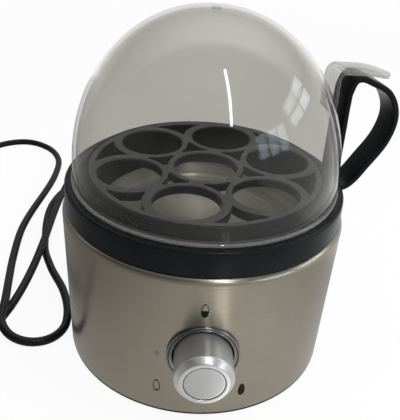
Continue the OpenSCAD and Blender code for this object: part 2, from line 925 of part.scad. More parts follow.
module cord_clamp() {
    color([0.16, 0.16, 0.17])
        difference() {
            box([-clamp_half_l, clamp_at - clamp_half_w, gland_z],
                [clamp_half_l, clamp_at + clamp_half_w, gland_z + cord_r + 2]);
            translate([0, clamp_at - clamp_half_w - 1, gland_z])
                rotate([-90, 0, 0])
                    cylinder(r = cord_r, h = 2 * clamp_half_w + 2);
            for (x = [-clamp_screw_x, clamp_screw_x])
                translate([x, clamp_at, gland_z - 1])
                    cylinder(r = screw_r + fit_gap, h = cord_r + 4);
        }
}

module clamp_screws() {
    color(bright_steel)
        for (x = [-clamp_screw_x, clamp_screw_x])
            translate([x, clamp_at, gland_z + cord_r + 2])
                mirror([0, 0, 1])
                    screw_up(screw_r, cord_r + 2 + 7, screw_head_r - 0.5, screw_head_h);
}

// Knob, bezel, button and pilot lamp

module knob_bezel() {
    color([0.36, 0.36, 0.37]) {
        difference() {
            on_knob_axis()
                ring_solid(bezel_r, knob_r + bezel_gap, front_r - bezel_depth, bezel_depth + bezel_out);
            translate([0, 0, knob_z - bezel_r - 5])
                cylinder(r1 = sleeve_r(knob_z - bezel_r - 5) + run_gap,
                    r2 = sleeve_r(knob_z + bezel_r + 5) + run_gap, h = 2 * bezel_r + 10);
        }
        on_knob_axis()
            ring_solid(collar_r, knob_r + bezel_gap, front_r - bezel_depth, bezel_depth + bezel_out);
    }
}

module pilot_lens() {
    color([0.10, 0.55, 0.58])
        front_pin(-lens_x, lens_z, lens_r, plate_front + led_l, lens_face);
}

module pilot_led() {
    color([0.55, 0.75, 0.72])
        front_pin(-lens_x, lens_z, lens_r, plate_front, plate_front + led_l);
}

module control_shaft() {
    color(bright_steel)
        on_knob_axis()
            ring_solid(shaft_r, shaft_bore_r, control_back + 1.2, knob_floor - 0.5 - control_back - 1.2);
}

module knob() {
    inner = knob_r - knob_wall;
    web_back = knob_floor - knob_web;
    hub_back = plate_front + bushing_l + 4;
    color([0.74, 0.74, 0.75])
        on_knob_axis()
            rotate_extrude()
                polygon([
                    [inner, knob_back], [knob_r, knob_back], [knob_r, knob_face - knob_chamfer],
                    [knob_r - knob_chamfer, knob_face], [button_r + button_gap, knob_face],
                    [button_r + button_gap, knob_floor], [shaft_r + 0.02, knob_floor],
                    [shaft_r + 0.02, hub_back], [hub_r, hub_back], [hub_r, web_back], [inner, web_back]
                ]);
}

module push_button() {
    bevel = 0.4;
    color([0.80, 0.80, 0.80])
        on_knob_axis()
            rotate_extrude()
                polygon([
                    [0, button_back], [button_r, button_back], [button_r, button_face - bevel],
                    [button_r - bevel, button_face], [0, button_face]
                ]);
}

module button_rod() {
    color(bright_steel)
        front_pin(0, knob_z, rod_d / 2, rod_end, button_back);
}

// Egg carrier

hole_turns = [for (i = [0 : 5]) egg_turn + 60 * i];
gap_turns = [for (i = [0 : 5]) egg_turn + 30 + 60 * i];
inner_gap_at = egg_pitch_r * cos(30) * 2 / 3;
inner_gap_r = inner_gap_at - hole_r + 1.5;
outer_gap_in = egg_pitch_r + 3;
outer_gap_out = tray_in_r - web;
outer_gap_w = 22;

module hole_circles(r) {
    circle(r = r);
    for (turn = hole_turns)
        rotate(turn)
            translate([egg_pitch_r, 0])
                circle(r = r);
}

// Three-cornered openings between the egg holes
module gap_outlines() {
    difference() {
        for (turn = gap_turns)
            rotate(turn) {
                translate([inner_gap_at, 0])
                    circle(r = inner_gap_r);
                intersection() {
                    difference() {
                        circle(r = outer_gap_out);
                        circle(r = outer_gap_in);
                    }
                    translate([outer_gap_in - 8, -outer_gap_w])
                        square([outer_gap_out, 2 * outer_gap_w]);
                }
            }
        hole_circles(hole_r + web);
    }
}

// Section of the ring: outer wall, ledge, inner wall, and the lip that finds the dish
module ring_outline() {
    translate([ring_r - ring_wall, ring_z])
        square([ring_wall, ring_h - ring_edge_r]);
    translate([ring_r - ring_edge_r, ring_top - ring_edge_r])
        intersection() {
            circle(r = ring_edge_r);
            square(ring_edge_r);
        }
    translate([tray_in_r, ring_top - ledge_t])
        square([ring_r - ring_edge_r - tray_in_r, ledge_t]);
    translate([tray_in_r, ring_z])
        square([tray_wall, ring_h - 1]);
    translate([lip_out_r - lip_wall, ring_z])
        square([tray_r - lip_out_r + lip_wall, 2]);
    translate([lip_out_r - lip_wall, ring_z - lip_drop])
        square([lip_wall, lip_drop + 2]);
}

module carrier_ring() {
    color([0.13, 0.14, 0.14])
        difference() {
            rotate_extrude()
                ring_outline();
            rotate([0, 0, handle_turn]) {
                box([slot_in, -handle_w / 2 - slot_gap, ring_z - 1],
                    [ring_r + 5, handle_w / 2 + slot_gap, ring_top + 1]);
                for (y = [-handle_screw_y, handle_screw_y])
                    translate([handle_screw_at, y, ring_top - ledge_t - 1]) {
                        cylinder(r = handle_screw_r + fit_gap, h = ledge_t + 2);
                        translate([0, 0, ledge_t + 1 - handle_head_h - 0.1])
                            cylinder(r = handle_head_r + fit_gap, h = handle_head_h + 1);
                    }
            }
        }
}

// Section of the tray's wall, with the skirt that finds the ring's inner wall
module tray_wall_outline() {
    translate([tray_in_r, ring_top])
        square([tray_wall, tray_rise - tray_wall]);
    translate([tray_in_r, tray_top - tray_wall])
        intersection() {
            circle(r = tray_wall);
            square(tray_wall);
        }
    translate([tray_in_r - fit_gap - skirt_t, ring_top])
        square([tray_wall + fit_gap + skirt_t, 2]);
    translate([tray_in_r - fit_gap - skirt_t, ring_top - skirt_h])
        square([skirt_t, skirt_h + 1]);
}

module egg_tray() {
    color([0.16, 0.17, 0.17]) {
        rotate_extrude()
            tray_wall_outline();
        translate([0, 0, tray_top - tray_t])
            linear_extrude(tray_t)
                difference() {
                    circle(r = tray_in_r + 0.5);
                    hole_circles(hole_r);
                    gap_outlines();
                }
    }
}

// Collars below the tray's holes
module egg_collars() {
    color([0.16, 0.17, 0.17])
        translate([0, 0, tray_top - tray_t - collar_h])
            linear_extrude(collar_h)
                difference() {
                    hole_circles(hole_r + collar_wall);
                    hole_circles(hole_r);
                }
}

// Middle line of the handle's strap, as distance from the axis and height
handle_line = [
    [arm_mid, foot_block_top - 3], [arm_mid, ring_top + handle_rise * 0.5],
    [arm_mid, arm_top - 15], [arm_mid + 0.5, arm_top - 9], [arm_mid + 4, arm_top - handle_t / 2 - 0.6],
    [arm_mid + handle_reach * 0.45, arm_top - handle_t / 2 - 3],
    [arm_mid + handle_reach * 0.8, arm_top - handle_t / 2 - 9.5],
    [arm_mid + handle_reach, arm_top - handle_rise * 0.4],
    [arm_mid + handle_reach * 0.93, ring_top + handle_rise * 0.36],
    [arm_mid + handle_reach * 0.62, ring_top + handle_rise * 0.1],
    [arm_mid + handle_reach * 0.28, ring_top - ring_h * 0.48],
    [arm_out + 0.4, ring_top - ring_h * 0.62]
];

// Strip of one thickness along a flat path
function strip(p, t) = concat(
    [for (i = [0 : len(p) - 1]) let (d = heading(p, i)) p[i] + t / 2 * [d[1], -d[0]]],
    [for (i = [len(p) - 1 : -1 : 0]) let (d = heading(p, i)) p[i] - t / 2 * [d[1], -d[0]]]
);

// Stands an outline of distance and height up in the handle's plane, with a width
module in_handle_plane(w) {
    rotate([0, 0, handle_turn])
        translate([0, w / 2, 0])
            rotate([90, 0, 0])
                linear_extrude(w)
                    children();
}

module carrier_handle() {
    color(black)
        difference() {
            in_handle_plane(handle_w) {
                polygon(strip(curve(handle_line, 3), handle_t));
                polygon([
                    [foot_block_in, foot_block_low], [foot_block_out, foot_block_low],
                    [foot_block_out, foot_block_top], [foot_block_in, foot_block_top]
                ]);
            }
            rotate([0, 0, handle_turn])
                for (y = [-handle_screw_y, handle_screw_y])
                    translate([handle_screw_at, y, foot_block_low - 1])
                        cylinder(r = handle_screw_r + run_gap, h = foot_block_top - foot_block_low + 2);
        }
}

module handle_screws() {
    head_seat = ring_top - handle_head_h - 0.1;
    color(bright_steel)
        rotate([0, 0, handle_turn])
            for (y = [-handle_screw_y, handle_screw_y])
                translate([handle_screw_at, y, head_seat])
                    mirror([0, 0, 1])
                        screw_up(handle_screw_r, head_seat - foot_block_low - 1, handle_head_r,
                            handle_head_h);
}

// Lid

dome_steps = 32;

// Half outline of the dome's curve, from its foot up to the edge of the vent
function cap_outline(r, h) =
    let (last = acos(pow(vent_d / 2 / r, dome_power / 2)))
        [
            for (i = [0 : dome_steps])
                let (t = last * i / dome_steps)
                    [r * pow(cos(t), 2 / dome_power), dome_cap_z + h * pow(sin(t), 2 / dome_power)]
        ];

// Section of the dome's wall with its foot flange
module dome_outline() {
    inner = cap_outline(dome_r - dome_t, dome_cap_h - dome_t);
    polygon(concat(
        [
            [dome_r - dome_t, lid_z], [flange_r, lid_z], [flange_r, lid_z + lid_flange_t],
            [dome_r, lid_z + lid_flange_t]
        ],
        cap_outline(dome_r, dome_cap_h),
        [for (i = [dome_steps : -1 : 0]) inner[i]]
    ));
}

// Middle line of the thumb tab, as distance from the axis and height
tab_line = concat(
    [[tab_mid, tab_low]],
    [
        for (i = [0 : 8])
            let (t = 180 - 10 * i)
                [tab_mid + tab_bend_r, tab_top - tab_t / 2 - tab_bend_r] + tab_bend_r * [cos(t), sin(t)]
    ],
    [[tab_mid + tab_reach * 0.6, tab_top - tab_t / 2 - 1.2], [tab_mid + tab_reach, tab_top - tab_t / 2 - 4]]
);

module thumb_tab() {
    intersection() {
        in_handle_plane(handle_w)
            polygon(strip(tab_line, tab_t));
        rotate([0, 0, handle_turn])
            translate([0, 0, tab_low])
                linear_extrude(tab_top)
                    union() {
                        translate([0, -handle_w / 2])
                            square([tab_mid + tab_reach - handle_w / 2, handle_w]);
                        translate([tab_mid + tab_reach - handle_w / 2 + 0.5, 0])
                            circle(r = handle_w / 2);
                    }
    }
}

module lid_dome() {
    color(clear) {
        rotate_extrude()
            dome_outline();
        thumb_tab();
    }
}

// Mains lead and plug

module power_cord() {
    color([0.08, 0.08, 0.09])
        tube_along(curve(cord_route, 18), cord_r, cord_sides);
}

module plug_body() {
    corner = 8;
    grip = plug_back + plug_boot_l;
    color(black)
        translate([0, plug_y, 0]) {
            translate([grip, 0, plug_bottom])
                linear_extrude(plug_t)
                    polygon([
                        [0, -corner], [corner, -plug_w / 2], [plug_l, -plug_w / 2], [plug_l, plug_w / 2],
                        [corner, plug_w / 2], [0, corner]
                    ]);
            translate([plug_back, 0, plug_z])
                rotate([0, 90, 0])
                    cylinder(r1 = cord_r + 1, r2 = plug_t / 2 - 0.5, h = plug_boot_l + 1);
        }
}

module plug_pins() {
    color([0.80, 0.70, 0.45])
        for (side = [-1, 1])
            translate([plug_back + plug_boot_l + plug_l, plug_y + side * pin_gap / 2, plug_z])
                rotate([0, 90, 0])
                    cylinder(r = pin_d / 2, h = pin_l);
}

steel_sleeve();
base_plate();
foot_ring();
base_screws();
top_frame();
heating_dish();
dish_seal();
heat_spreader();
heating_element();
element_terminals();
thermostat();
thermostat_bracket();
thermal_fuse();
fuse_clip();
dish_studs();
shield_spacers();
heat_shield();
stud_nuts();
control_bracket();
bracket_screws();
rotary_control();
control_nut();
control_board();
board_spacers();
board_screws();
push_switch();
relay();
capacitor();
buzzer();
terminal_block();
inner_lead();
element_wires();
cord_gland();
cord_clamp();
clamp_screws();
knob_bezel();
pilot_lens();
pilot_led();
control_shaft();
knob();
push_button();
button_rod();
carrier_ring();
egg_tray();
egg_collars();
carrier_handle();
handle_screws();
lid_dome();
power_cord();
plug_body();
plug_pins();
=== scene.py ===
import json
import math
import bmesh
import bpy
import numpy as np
from mathutils import Matrix


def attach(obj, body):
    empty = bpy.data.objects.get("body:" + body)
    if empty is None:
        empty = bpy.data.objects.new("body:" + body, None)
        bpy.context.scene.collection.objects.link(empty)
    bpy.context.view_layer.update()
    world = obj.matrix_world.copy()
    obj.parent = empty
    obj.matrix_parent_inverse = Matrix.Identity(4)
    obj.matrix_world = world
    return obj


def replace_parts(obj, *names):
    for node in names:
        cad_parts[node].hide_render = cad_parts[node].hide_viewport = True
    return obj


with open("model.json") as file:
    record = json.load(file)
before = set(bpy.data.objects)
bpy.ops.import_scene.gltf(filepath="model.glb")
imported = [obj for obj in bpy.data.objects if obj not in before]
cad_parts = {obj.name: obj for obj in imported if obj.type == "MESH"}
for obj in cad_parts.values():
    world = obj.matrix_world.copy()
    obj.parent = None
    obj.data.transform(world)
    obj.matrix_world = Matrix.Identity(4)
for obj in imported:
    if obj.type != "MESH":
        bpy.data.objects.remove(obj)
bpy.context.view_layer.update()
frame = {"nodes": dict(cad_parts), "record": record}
nodes = frame["nodes"]
scene = bpy.context.scene
mm = 0.001  # sizes of the pieces are in millimetres, and those of the stage and lamps in metres
print("frame loaded with", len(nodes), "nodes")

# camera

shot = {
    "azimuth": -3.8, "elevation": 29.54, "roll": 3.92,
    "distance": 389.2, "aside": -1.43, "aim": 87.8,
    "lens": 55.71, "sensor": 36,
}


# a matrix whose columns are three directions and a place
def standing(side, up, back, at):
    return Matrix([[side[i], up[i], back[i], at[i]] for i in range(3)] + [[0, 0, 0, 1]])


# the eye stands back from a point on the body's axis, and the frame is rolled about the line of sight
def placeCamera():
    a, e, roll = (math.radians(shot[k]) for k in ("azimuth", "elevation", "roll"))
    back = np.array([math.sin(a) * math.cos(e), -math.cos(a) * math.cos(e), math.sin(e)])
    side = np.array([math.cos(a), math.sin(a), 0.0])
    lift = np.cross(back, side)
    right = math.cos(roll) * side + math.sin(roll) * lift
    up = math.cos(roll) * lift - math.sin(roll) * side
    eye = (np.array([0, 0, shot["aim"]]) + shot["aside"] * side + shot["distance"] * back) * mm
    data = bpy.data.cameras.new("photoCamera")
    data.sensor_width = shot["sensor"]
    data.lens = shot["lens"]
    camera = bpy.data.objects.new("photoCamera", data)
    scene.collection.objects.link(camera)
    camera.matrix_world = standing(right, up, back, eye)
    scene.camera = camera


placeCamera()
print("camera placed")


# meshes from arrays of points

# points closer than a gap become one, edges shorter than a limit go, and the faces turn outwards
def mend(mesh, gap, shortest=0.0):
    work = bmesh.new()
    work.from_mesh(mesh)
    bmesh.ops.remove_doubles(work, verts=work.verts, dist=gap)
    if shortest:
        bmesh.ops.dissolve_degenerate(work, edges=work.edges, dist=shortest)
    bmesh.ops.recalc_face_normals(work, faces=work.faces)
    work.to_mesh(mesh)
    work.free()


# quads join neighbouring rows and columns of each array, round the end where it loops,
# and the map counts along both
def skin(name, grids, body, finish, loopU=True, loopV=False, crease=32):
    points, quads, maps, start = [], [], [], 0
    for grid in grids if isinstance(grids, list) else [grids]:
        rows, cols = grid.shape[:2]
        i = np.arange(rows if loopV else rows - 1)[:, None]
        j = np.arange(cols if loopU else cols - 1)[None, :]
        corners = [(i, j), (i, j + 1), (i + 1, j + 1), (i + 1, j)]
        quad = [(a % rows) * cols + b % cols + start for a, b in corners]
        uv = [np.stack(np.broadcast_arrays(b / cols, a / rows), -1) for a, b in corners]
        quads.append(np.stack(quad, -1).reshape(-1, 4))
        maps.append(np.stack(uv, -2).reshape(-1, 2))
        points.append(grid.reshape(-1, 3))
        start += rows * cols
    mesh = bpy.data.meshes.new(name)
    mesh.from_pydata((np.concatenate(points) * mm).tolist(), [], np.concatenate(quads).tolist())
    mesh.uv_layers.new(name="around").data.foreach_set("uv", np.concatenate(maps).ravel())
    mend(mesh, gap=1e-7, shortest=1e-8)
    return dress(bpy.data.objects.new(name, mesh), body, finish, crease)


# a finished mesh gets its material, smooth faces with sharp creases, and the body that it moves with
def dress(piece, body, finish, crease=32):
    scene.collection.objects.link(piece)
    piece.data.materials.clear()
    piece.data.materials.append(finish)
    piece.data.shade_smooth()
    piece.data.set_sharp_from_angle(angle=math.radians(crease))
    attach(piece, body)
    return piece


# the mesh that an object comes to, with its modifiers or its curve's thickness
def finishedMesh(thing):
    bpy.context.view_layer.update()
    return bpy.data.meshes.new_from_object(thing.evaluated_get(bpy.context.evaluated_depsgraph_get()))


# a shape made from an array of points is taken out of a piece, and the piece keeps the finished mesh
def cutAway(piece, grid, crease):
    drill = skin("drill", grid, "base", piece.data.materials[0])
    step = piece.modifiers.new("cut", "BOOLEAN")
    step.object, step.operation, step.solver = drill, "DIFFERENCE", "EXACT"
    mesh = finishedMesh(piece)
    piece.modifiers.clear()
    piece.data, mesh.name = mesh, piece.name
    bpy.data.objects.remove(drill)
    mesh.set_sharp_from_angle(angle=math.radians(crease))


# each corner of a closed outline becomes a quadratic curve that starts and ends at its radius from the
# corner, or just short of half way along a side that is too short for that
def rounded(corners, radii, steps=5):
    nearHalf = 0.48
    c = np.array(corners, float)
    r = np.broadcast_to(np.array(radii, float), len(c))[:, None]
    before, after = np.roll(c, 1, 0) - c, np.roll(c, -1, 0) - c
    spanA = np.linalg.norm(before, axis=1, keepdims=True)
    spanB = np.linalg.norm(after, axis=1, keepdims=True)
    a = c + before / spanA * np.minimum(r, spanA * nearHalf)
    b = c + after / spanB * np.minimum(r, spanB * nearHalf)
    t = np.linspace(0, 1, steps)[None, :, None]
    curve = (1 - t) ** 2 * a[:, None] + 2 * t * (1 - t) * c[:, None] + t ** 2 * b[:, None]
    return curve.reshape(-1, 2)


# an outline of radius and height is carried round the upright axis through a place
def lathe(outline, count=192, at=(0, 0)):
    r, z = outline[:, 0, None], outline[:, 1, None]
    turn = np.linspace(0, 2 * np.pi, count, endpoint=False)[None, :]
    return np.stack(np.broadcast_arrays(at[0] + r * np.cos(turn), at[1] + r * np.sin(turn), z), -1)


front = {"knobZ": 46.5, "sleeveR": 80.72}  # height of the knob's axis, and the sleeve's radius there


# an outline is carried round the knob's axis in the same way, with its height measured forwards
# from the body's axis
def knobLathe(outline, count=128):
    p = lathe(outline, count)
    return np.stack([p[..., 0], -p[..., 2], p[..., 1] + front["knobZ"]], -1)


# unit vectors along the rows of an array
def unit(v):
    return v / np.linalg.norm(v, axis=-1, keepdims=True)


# cubic stretches between points, whose slope at each point halves the turn there, stepped at a pitch
def smoothLine(points, pitch):
    p = np.array(points, float)
    d = unit(np.diff(p, axis=0))
    lean = unit(np.concatenate([d[:1], d[:-1] + d[1:], d[-1:]]))
    parts = []
    for k, span in enumerate(np.linalg.norm(np.diff(p, axis=0), axis=1)):
        t = np.linspace(0, 1, max(2, int(round(span / pitch)) + 1))[:-1, None]
        straight = (2 * t - 3) * t * t * (p[k] - p[k + 1]) + p[k]
        swing = t * (1 - t) * ((1 - t) * span * lean[k] - t * span * lean[k + 1])
        parts.append(straight + swing)
    return np.concatenate(parts + [p[-1:]])


# a closed tube's ends: an array gets a first and a last row that are the middles of its own
def capped(grid):
    ends = [np.repeat(row.mean(0, keepdims=True), len(row), 0)[None] for row in (grid[0], grid[-1])]
    return np.concatenate([ends[0], grid, ends[1]])


# a strap: a rounded section of width and thickness carried along a line of radius and height
# in one upright plane
def strap(line, widths, thick, turn, edgeR=0.9, steps=5):
    d = unit(np.gradient(line, axis=0))
    out = np.stack([d[:, 1], -d[:, 0]], -1)
    half = np.array(widths, float)[:, None]
    edge = np.minimum(edgeR, half * 0.9)  # a narrow tip keeps a little flat
    t = np.linspace(0, np.pi / 2, steps)
    corners = [(1, 1, t), (-1, 1, np.pi - t[::-1]), (-1, -1, np.pi + t), (1, -1, 2 * np.pi - t[::-1])]
    w = np.concatenate([sx * (half - edge) + edge * np.cos(a)[None] for sx, sy, a in corners], 1)
    h = np.concatenate([sy * (thick / 2 - edgeR) + edgeR * np.sin(a) for sx, sy, a in corners])[None]
    r = line[:, 0, None] + out[:, 0, None] * h
    z = line[:, 1, None] + out[:, 1, None] * h
    c, s = math.cos(math.radians(turn)), math.sin(math.radians(turn))
    return capped(np.stack([r * c - w * s, r * s + w * c, z], -1))


# materials

# a tree of shader nodes, with calls that add nodes and give back their sockets
class NodeTree:
    def __init__(self, tree):
        self.tree = tree

    # a new node with its settings, whose inputs each take a value or another node's socket
    def node(self, kind, inputs=(), **settings):
        n = self.tree.nodes.new("ShaderNode" + kind)
        for key, value in settings.items():
            setattr(n, key, value)
        for key, value in dict(inputs).items():
            if isinstance(value, bpy.types.NodeSocket):
                self.tree.links.new(value, n.inputs[key])
            else:
                n.inputs[key].default_value = value
        return n

    # an operation on two numbers
    def maths(self, operation, a, b):
        return self.node("Math", {0: a, 1: b}, operation=operation).outputs[0]

    # an operation on two vectors, whose result is a vector or a number
    def vectors(self, operation, a, b=(0, 0, 0), result="Vector"):
        return self.node("VectorMath", {0: a, 1: b}, operation=operation).outputs[result]

    # noise on object coordinates, or on another vector, stretched by a factor on each axis
    def noise(self, stretch, detail=3.0, rough=0.55, vector=None):
        source = vector or self.node("TexCoord").outputs["Object"]
        scaled = self.node("Mapping", {"Vector": source, "Scale": stretch}).outputs["Vector"]
        grain = {"Vector": scaled, "Scale": 1.0, "Detail": detail, "Roughness": rough}
        return self.node("TexNoise", grain).outputs["Fac"]

    # a number moved from one range to another, and held inside it
    def ranged(self, value, low, high, fromLow=0.3, fromHigh=0.7, **settings):
        ends = {"From Min": fromLow, "From Max": fromHigh, "To Min": low, "To Max": high}
        return self.node("MapRange", {"Value": value, **ends}, **settings).outputs["Result"]

    # a colour between two, by a number
    def between(self, value, a, b):
        n = self.node("Mix", data_type="RGBA")
        self.tree.links.new(value, n.inputs[0])
        n.inputs[6].default_value, n.inputs[7].default_value = (*a, 1), (*b, 1)
        return n.outputs[2]

    # a blend of two shaders, by a number
    def blend(self, value, a, b):
        return self.node("MixShader", {0: value, 1: a.outputs[0], 2: b.outputs[0]})


# a new material with its shader
class Finish(NodeTree):
    def __init__(self, name, **values):
        self.mat = bpy.data.materials.new(name)
        self.mat.use_nodes = True
        super().__init__(self.mat.node_tree)
        self.shader = self.tree.nodes["Principled BSDF"]
        for key, value in values.items():
            self.shader.inputs[key].default_value = value

    # a socket drives one of the shader's values
    def feed(self, socket, key):
        self.tree.links.new(socket, self.shader.inputs[key])

    # the colour goes from a darker to a lighter shade of itself as a number rises
    def shade(self, value, colour, vary):
        dark, light = ([min(1, c * (1 + way * vary)) for c in colour] for way in (-1, 1))
        self.feed(self.between(value, dark, light), "Base Color")

    # the surface is tilted by the slope of a number, as if that were a height
    def bump(self, value, strength, depth):
        n = self.node("Bump", {"Height": value, "Strength": strength, "Distance": depth * mm})
        self.feed(n.outputs["Normal"], "Normal")

    # another shader takes the first one's place
    def swapShader(self, shader):
        self.tree.links.new(shader.outputs[0], self.tree.nodes["Material Output"].inputs["Surface"])
        self.tree.nodes.remove(self.shader)


# moulded plastic or rubber: cloudy tone, and a fine grain in the gloss and the surface
def moulded(name, colour, rough, grain=1400, relief=0.03, vary=0.25, shine=0.5):
    f = Finish(name, Roughness=rough, **{"Specular IOR Level": shine})
    cloud = f.noise((60, 60, 60), detail=4)
    speck = f.noise((grain, grain, grain), detail=2)
    f.shade(f.ranged(cloud, 0, 1), colour, vary)
    f.feed(f.ranged(speck, rough * 0.8, min(1, rough * 1.2)), "Roughness")
    f.bump(speck, 0.35, relief)
    return f.mat


# bare metal whose gloss spreads across lines that run round an axis
def combed(name, rough, metal, aniso, axis):
    f = Finish(name, Metallic=metal, Roughness=rough, Anisotropic=aniso)
    f.shader.inputs["Anisotropic Rotation"].default_value = 0.25  # a quarter turn
    if aniso:
        f.feed(f.node("Tangent", direction_type="RADIAL", axis=axis).outputs["Tangent"], "Tangent")
    return f


# drawn or brushed metal: fine lines across one axis, over slow changes of tone
def brushed(name, colour, rough, lines=(18, 18, 2400), vary=0.12, relief=0.006, aniso=0.0, metal=1.0):
    f = combed(name, rough, metal, aniso, "Z")
    streak = f.noise(lines, rough=0.6)
    cloud = f.noise((16, 16, 16), detail=4)
    f.shade(f.ranged(f.maths("ADD", streak, cloud), 0, 1, 0.7, 1.3), colour, vary)
    f.feed(f.ranged(streak, rough * 0.82, rough * 1.18), "Roughness")
    f.bump(streak, 0.3, relief)
    return f.mat


# spun metal: the fine lines run round an axis, so the noise reads the distance from it
def spun(name, colour, rough, axis="Z", vary=0.12, lines=1500, metal=1.0, aniso=0.0):
    f = combed(name, rough, metal, aniso, axis)
    flat = (1, 1, 0) if axis == "Z" else (1, 0, 1)
    centre = (0, 0, 0) if axis == "Z" else (0, 0, front["knobZ"] * mm)
    moved = f.vectors("SUBTRACT", f.node("TexCoord").outputs["Object"], centre)
    radius = f.vectors("LENGTH", f.vectors("MULTIPLY", moved, flat), result="Value")
    ring = f.noise((lines, 1, 1), rough=0.6, vector=f.node("CombineXYZ", {"X": radius}).outputs[0])
    cloud = f.noise((45, 45, 45), detail=4)
    f.shade(f.ranged(f.maths("ADD", ring, cloud), 0, 1, 0.7, 1.3), colour, vary)
    f.feed(f.ranged(cloud, rough * 0.75, rough * 1.3), "Roughness")
    f.bump(ring, 0.25, 0.005)
    return f.mat


# clear plastic: a film that mirrors more at a low angle, where its tint also goes over to another, with a
# faint haze, and below a height in the moulded rim a thicker white haze that paints a bright highlight line
def clearFilm(name, tint, edge, index, gloss, haze, rimTop=0.0, rimPaintedHighlight=0.0):
    rimFade = 0.3
    f = Finish(name)
    back = f.node("NewGeometry").outputs["Backfacing"]
    mirror = f.node("Fresnel", {"IOR": f.ranged(back, index, 1 / index, 0, 1)}).outputs["Fac"]
    scratch = f.noise((220, 220, 40), detail=5, rough=0.7)
    slant = f.node("LayerWeight", {"Blend": 0.5}).outputs["Facing"]
    through = f.node("BsdfTransparent", {"Color": f.between(f.ranged(slant, 0, 1, 0.6, 1.0), tint, edge)})
    rough = f.ranged(scratch, gloss * 0.6, gloss * 2.2)
    shine = f.node("BsdfGlossy", {"Color": (1, 1, 1, 1), "Roughness": rough})
    dust = f.node("BsdfDiffuse", {"Color": (0.75, 0.74, 0.71, 1)})
    cloud = f.ranged(scratch, haze * 0.6, haze * 1.6)
    # below rimTop the haze is painted whiter, as a painted highlight along the dome's foot
    if rimTop:
        height = f.node("SeparateXYZ", {0: f.node("TexCoord").outputs["Object"]}).outputs["Z"]
        cloud = f.maths("ADD", cloud, f.ranged(height, rimPaintedHighlight, 0, (rimTop - rimFade) * mm, rimTop * mm))
    f.swapShader(f.blend(mirror, f.blend(cloud, through, dust), shine))
    return f.mat


sleeveFinish = brushed("sleeveSteel", (0.277, 0.248, 0.199), 0.3, vary=0.07, relief=0.002, aniso=0.7)
dishFinish = spun("dishSteel", (0.56, 0.55, 0.51), 0.44, metal=0.7, aniso=0.85)
blackFinish = moulded("blackPlastic", (0.006, 0.007, 0.008), 0.28, relief=0.002, shine=0.09)
trayFinish = moulded("trayPlastic", (0.054, 0.058, 0.059), 0.36, relief=0.002, shine=0.4)
domeFinish = clearFilm("clearPlastic", tint=(0.81, 0.806, 0.786), edge=(0.92, 0.915, 0.895),
                       index=1.3, gloss=0.03, haze=0.006, rimTop=112.6, rimPaintedHighlight=0.12)
tabFinish = clearFilm("clearTab", tint=(0.74, 0.74, 0.73), edge=(0.22, 0.22, 0.21),
                      index=1.45, gloss=0.04, haze=0.03)
knobFinish = brushed("knobSatin", (0.50, 0.50, 0.49), 0.34, lines=(20, 2200, 20), vary=0.05, metal=0.85)
buttonFinish = brushed("buttonSatin", (0.40, 0.40, 0.392), 0.32, lines=(40, 40, 2600))
bezelFinish = spun("bezelChrome", (0.19, 0.19, 0.186), 0.22, axis="Y")
cordFinish = moulded("cordBlack", (0.006, 0.006, 0.007), 0.34, relief=0.003, shine=0.13)
inkFinish = moulded("markInk", (0.004, 0.004, 0.004), 0.6, relief=0.005, shine=0.15)
lampFinish = moulded("lampTeal", (0.04, 0.14, 0.15), 0.25, relief=0.004)
print("finishes made")


# mains lead, plug and gland

lead = {"diameter": 5.6, "pitch": 3.0, "sides": 16, "clear": 0.1}
gland = {
    "y": 80.08, "z": 16, "stemL": 9, "stemR": 5.7, "flangeR": 7.8, "flangeT": 2,
    "bootL": 28, "bootR": 5.8, "taper": 2.0, "ribs": 7, "rib": 0.5,
}
plug = {
    "back": -84, "y": 188, "z": 7.2, "bootL": 18, "bootR": 3.9, "flareY": 0.14, "flareZ": 0.13,
    "ridge": 0.45, "ridgePitch": 3.4, "gripL": 32, "wide": 36, "thick": 14, "spreadFrom": 16, "spread": 10,
    "square": 2.6, "nose": 2.5, "noseIn": 1.2, "sides": 64,
}
bootEnd = gland["y"] + gland["flangeT"] + gland["bootL"]
leadStart = (0, bootEnd + lead["clear"], gland["z"])
leadRoute = [
    leadStart, (0, bootEnd + 5, gland["z"]), (0, bootEnd + 17, 13.2), (0, 170, 4), (-15, 204, 3.2),
    (-50, 224, 3.2), (-87, 212, 6.4), (-105, 184, 12), (-110, 158, 9.8), (-113, 78, 9.2), (-115, 56, 6.4),
    (-119, 30, 3.2), (-124, 4, 3), (-131, -16, 3), (-147, -34, 3), (-172, -35, 3), (-190, -14, 3),
    (-195, 50, 3), (-209, 214, 3), (-189, 266, 3), (-164, 277, 3), (-141, 265, 3), (-127, 241, 3),
    (-124, 212, 3), (-135, 110, 3), (-133, 68, 3.6), (-129, 36, 6.4), (-125, 8, 9.4), (-123, -12, 8.6),
    (-115.5, -21.8, 6), (-104, -25.4, 4.2), (-92.5, -21.8, 3.2), (-85, -12, 3), (-84, 4, 3), (-90, 28, 3),
    (-104, 58, 3), (-113, 86, 3.2), (-110, 174, 4.6),
    (plug["back"] - 6, plug["y"], plug["z"]), (plug["back"] - lead["clear"], plug["y"], plug["z"]),
]


# a circle carried along the route, square to it, with its first point kept to one side
def makeLead():
    line = smoothLine(leadRoute, lead["pitch"])
    along = unit(np.gradient(line, axis=0))
    side = unit(np.cross([0, 0, 1], along))
    up = np.cross(along, side)
    a = np.linspace(0, 2 * np.pi, lead["sides"], endpoint=False)[None, :, None]
    grid = line[:, None] + lead["diameter"] / 2 * (np.cos(a) * side[:, None] + np.sin(a) * up[:, None])
    piece = skin("mainsLead", capped(grid), "base", cordFinish, crease=60)
    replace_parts(piece, "power_cord")
    return piece, line


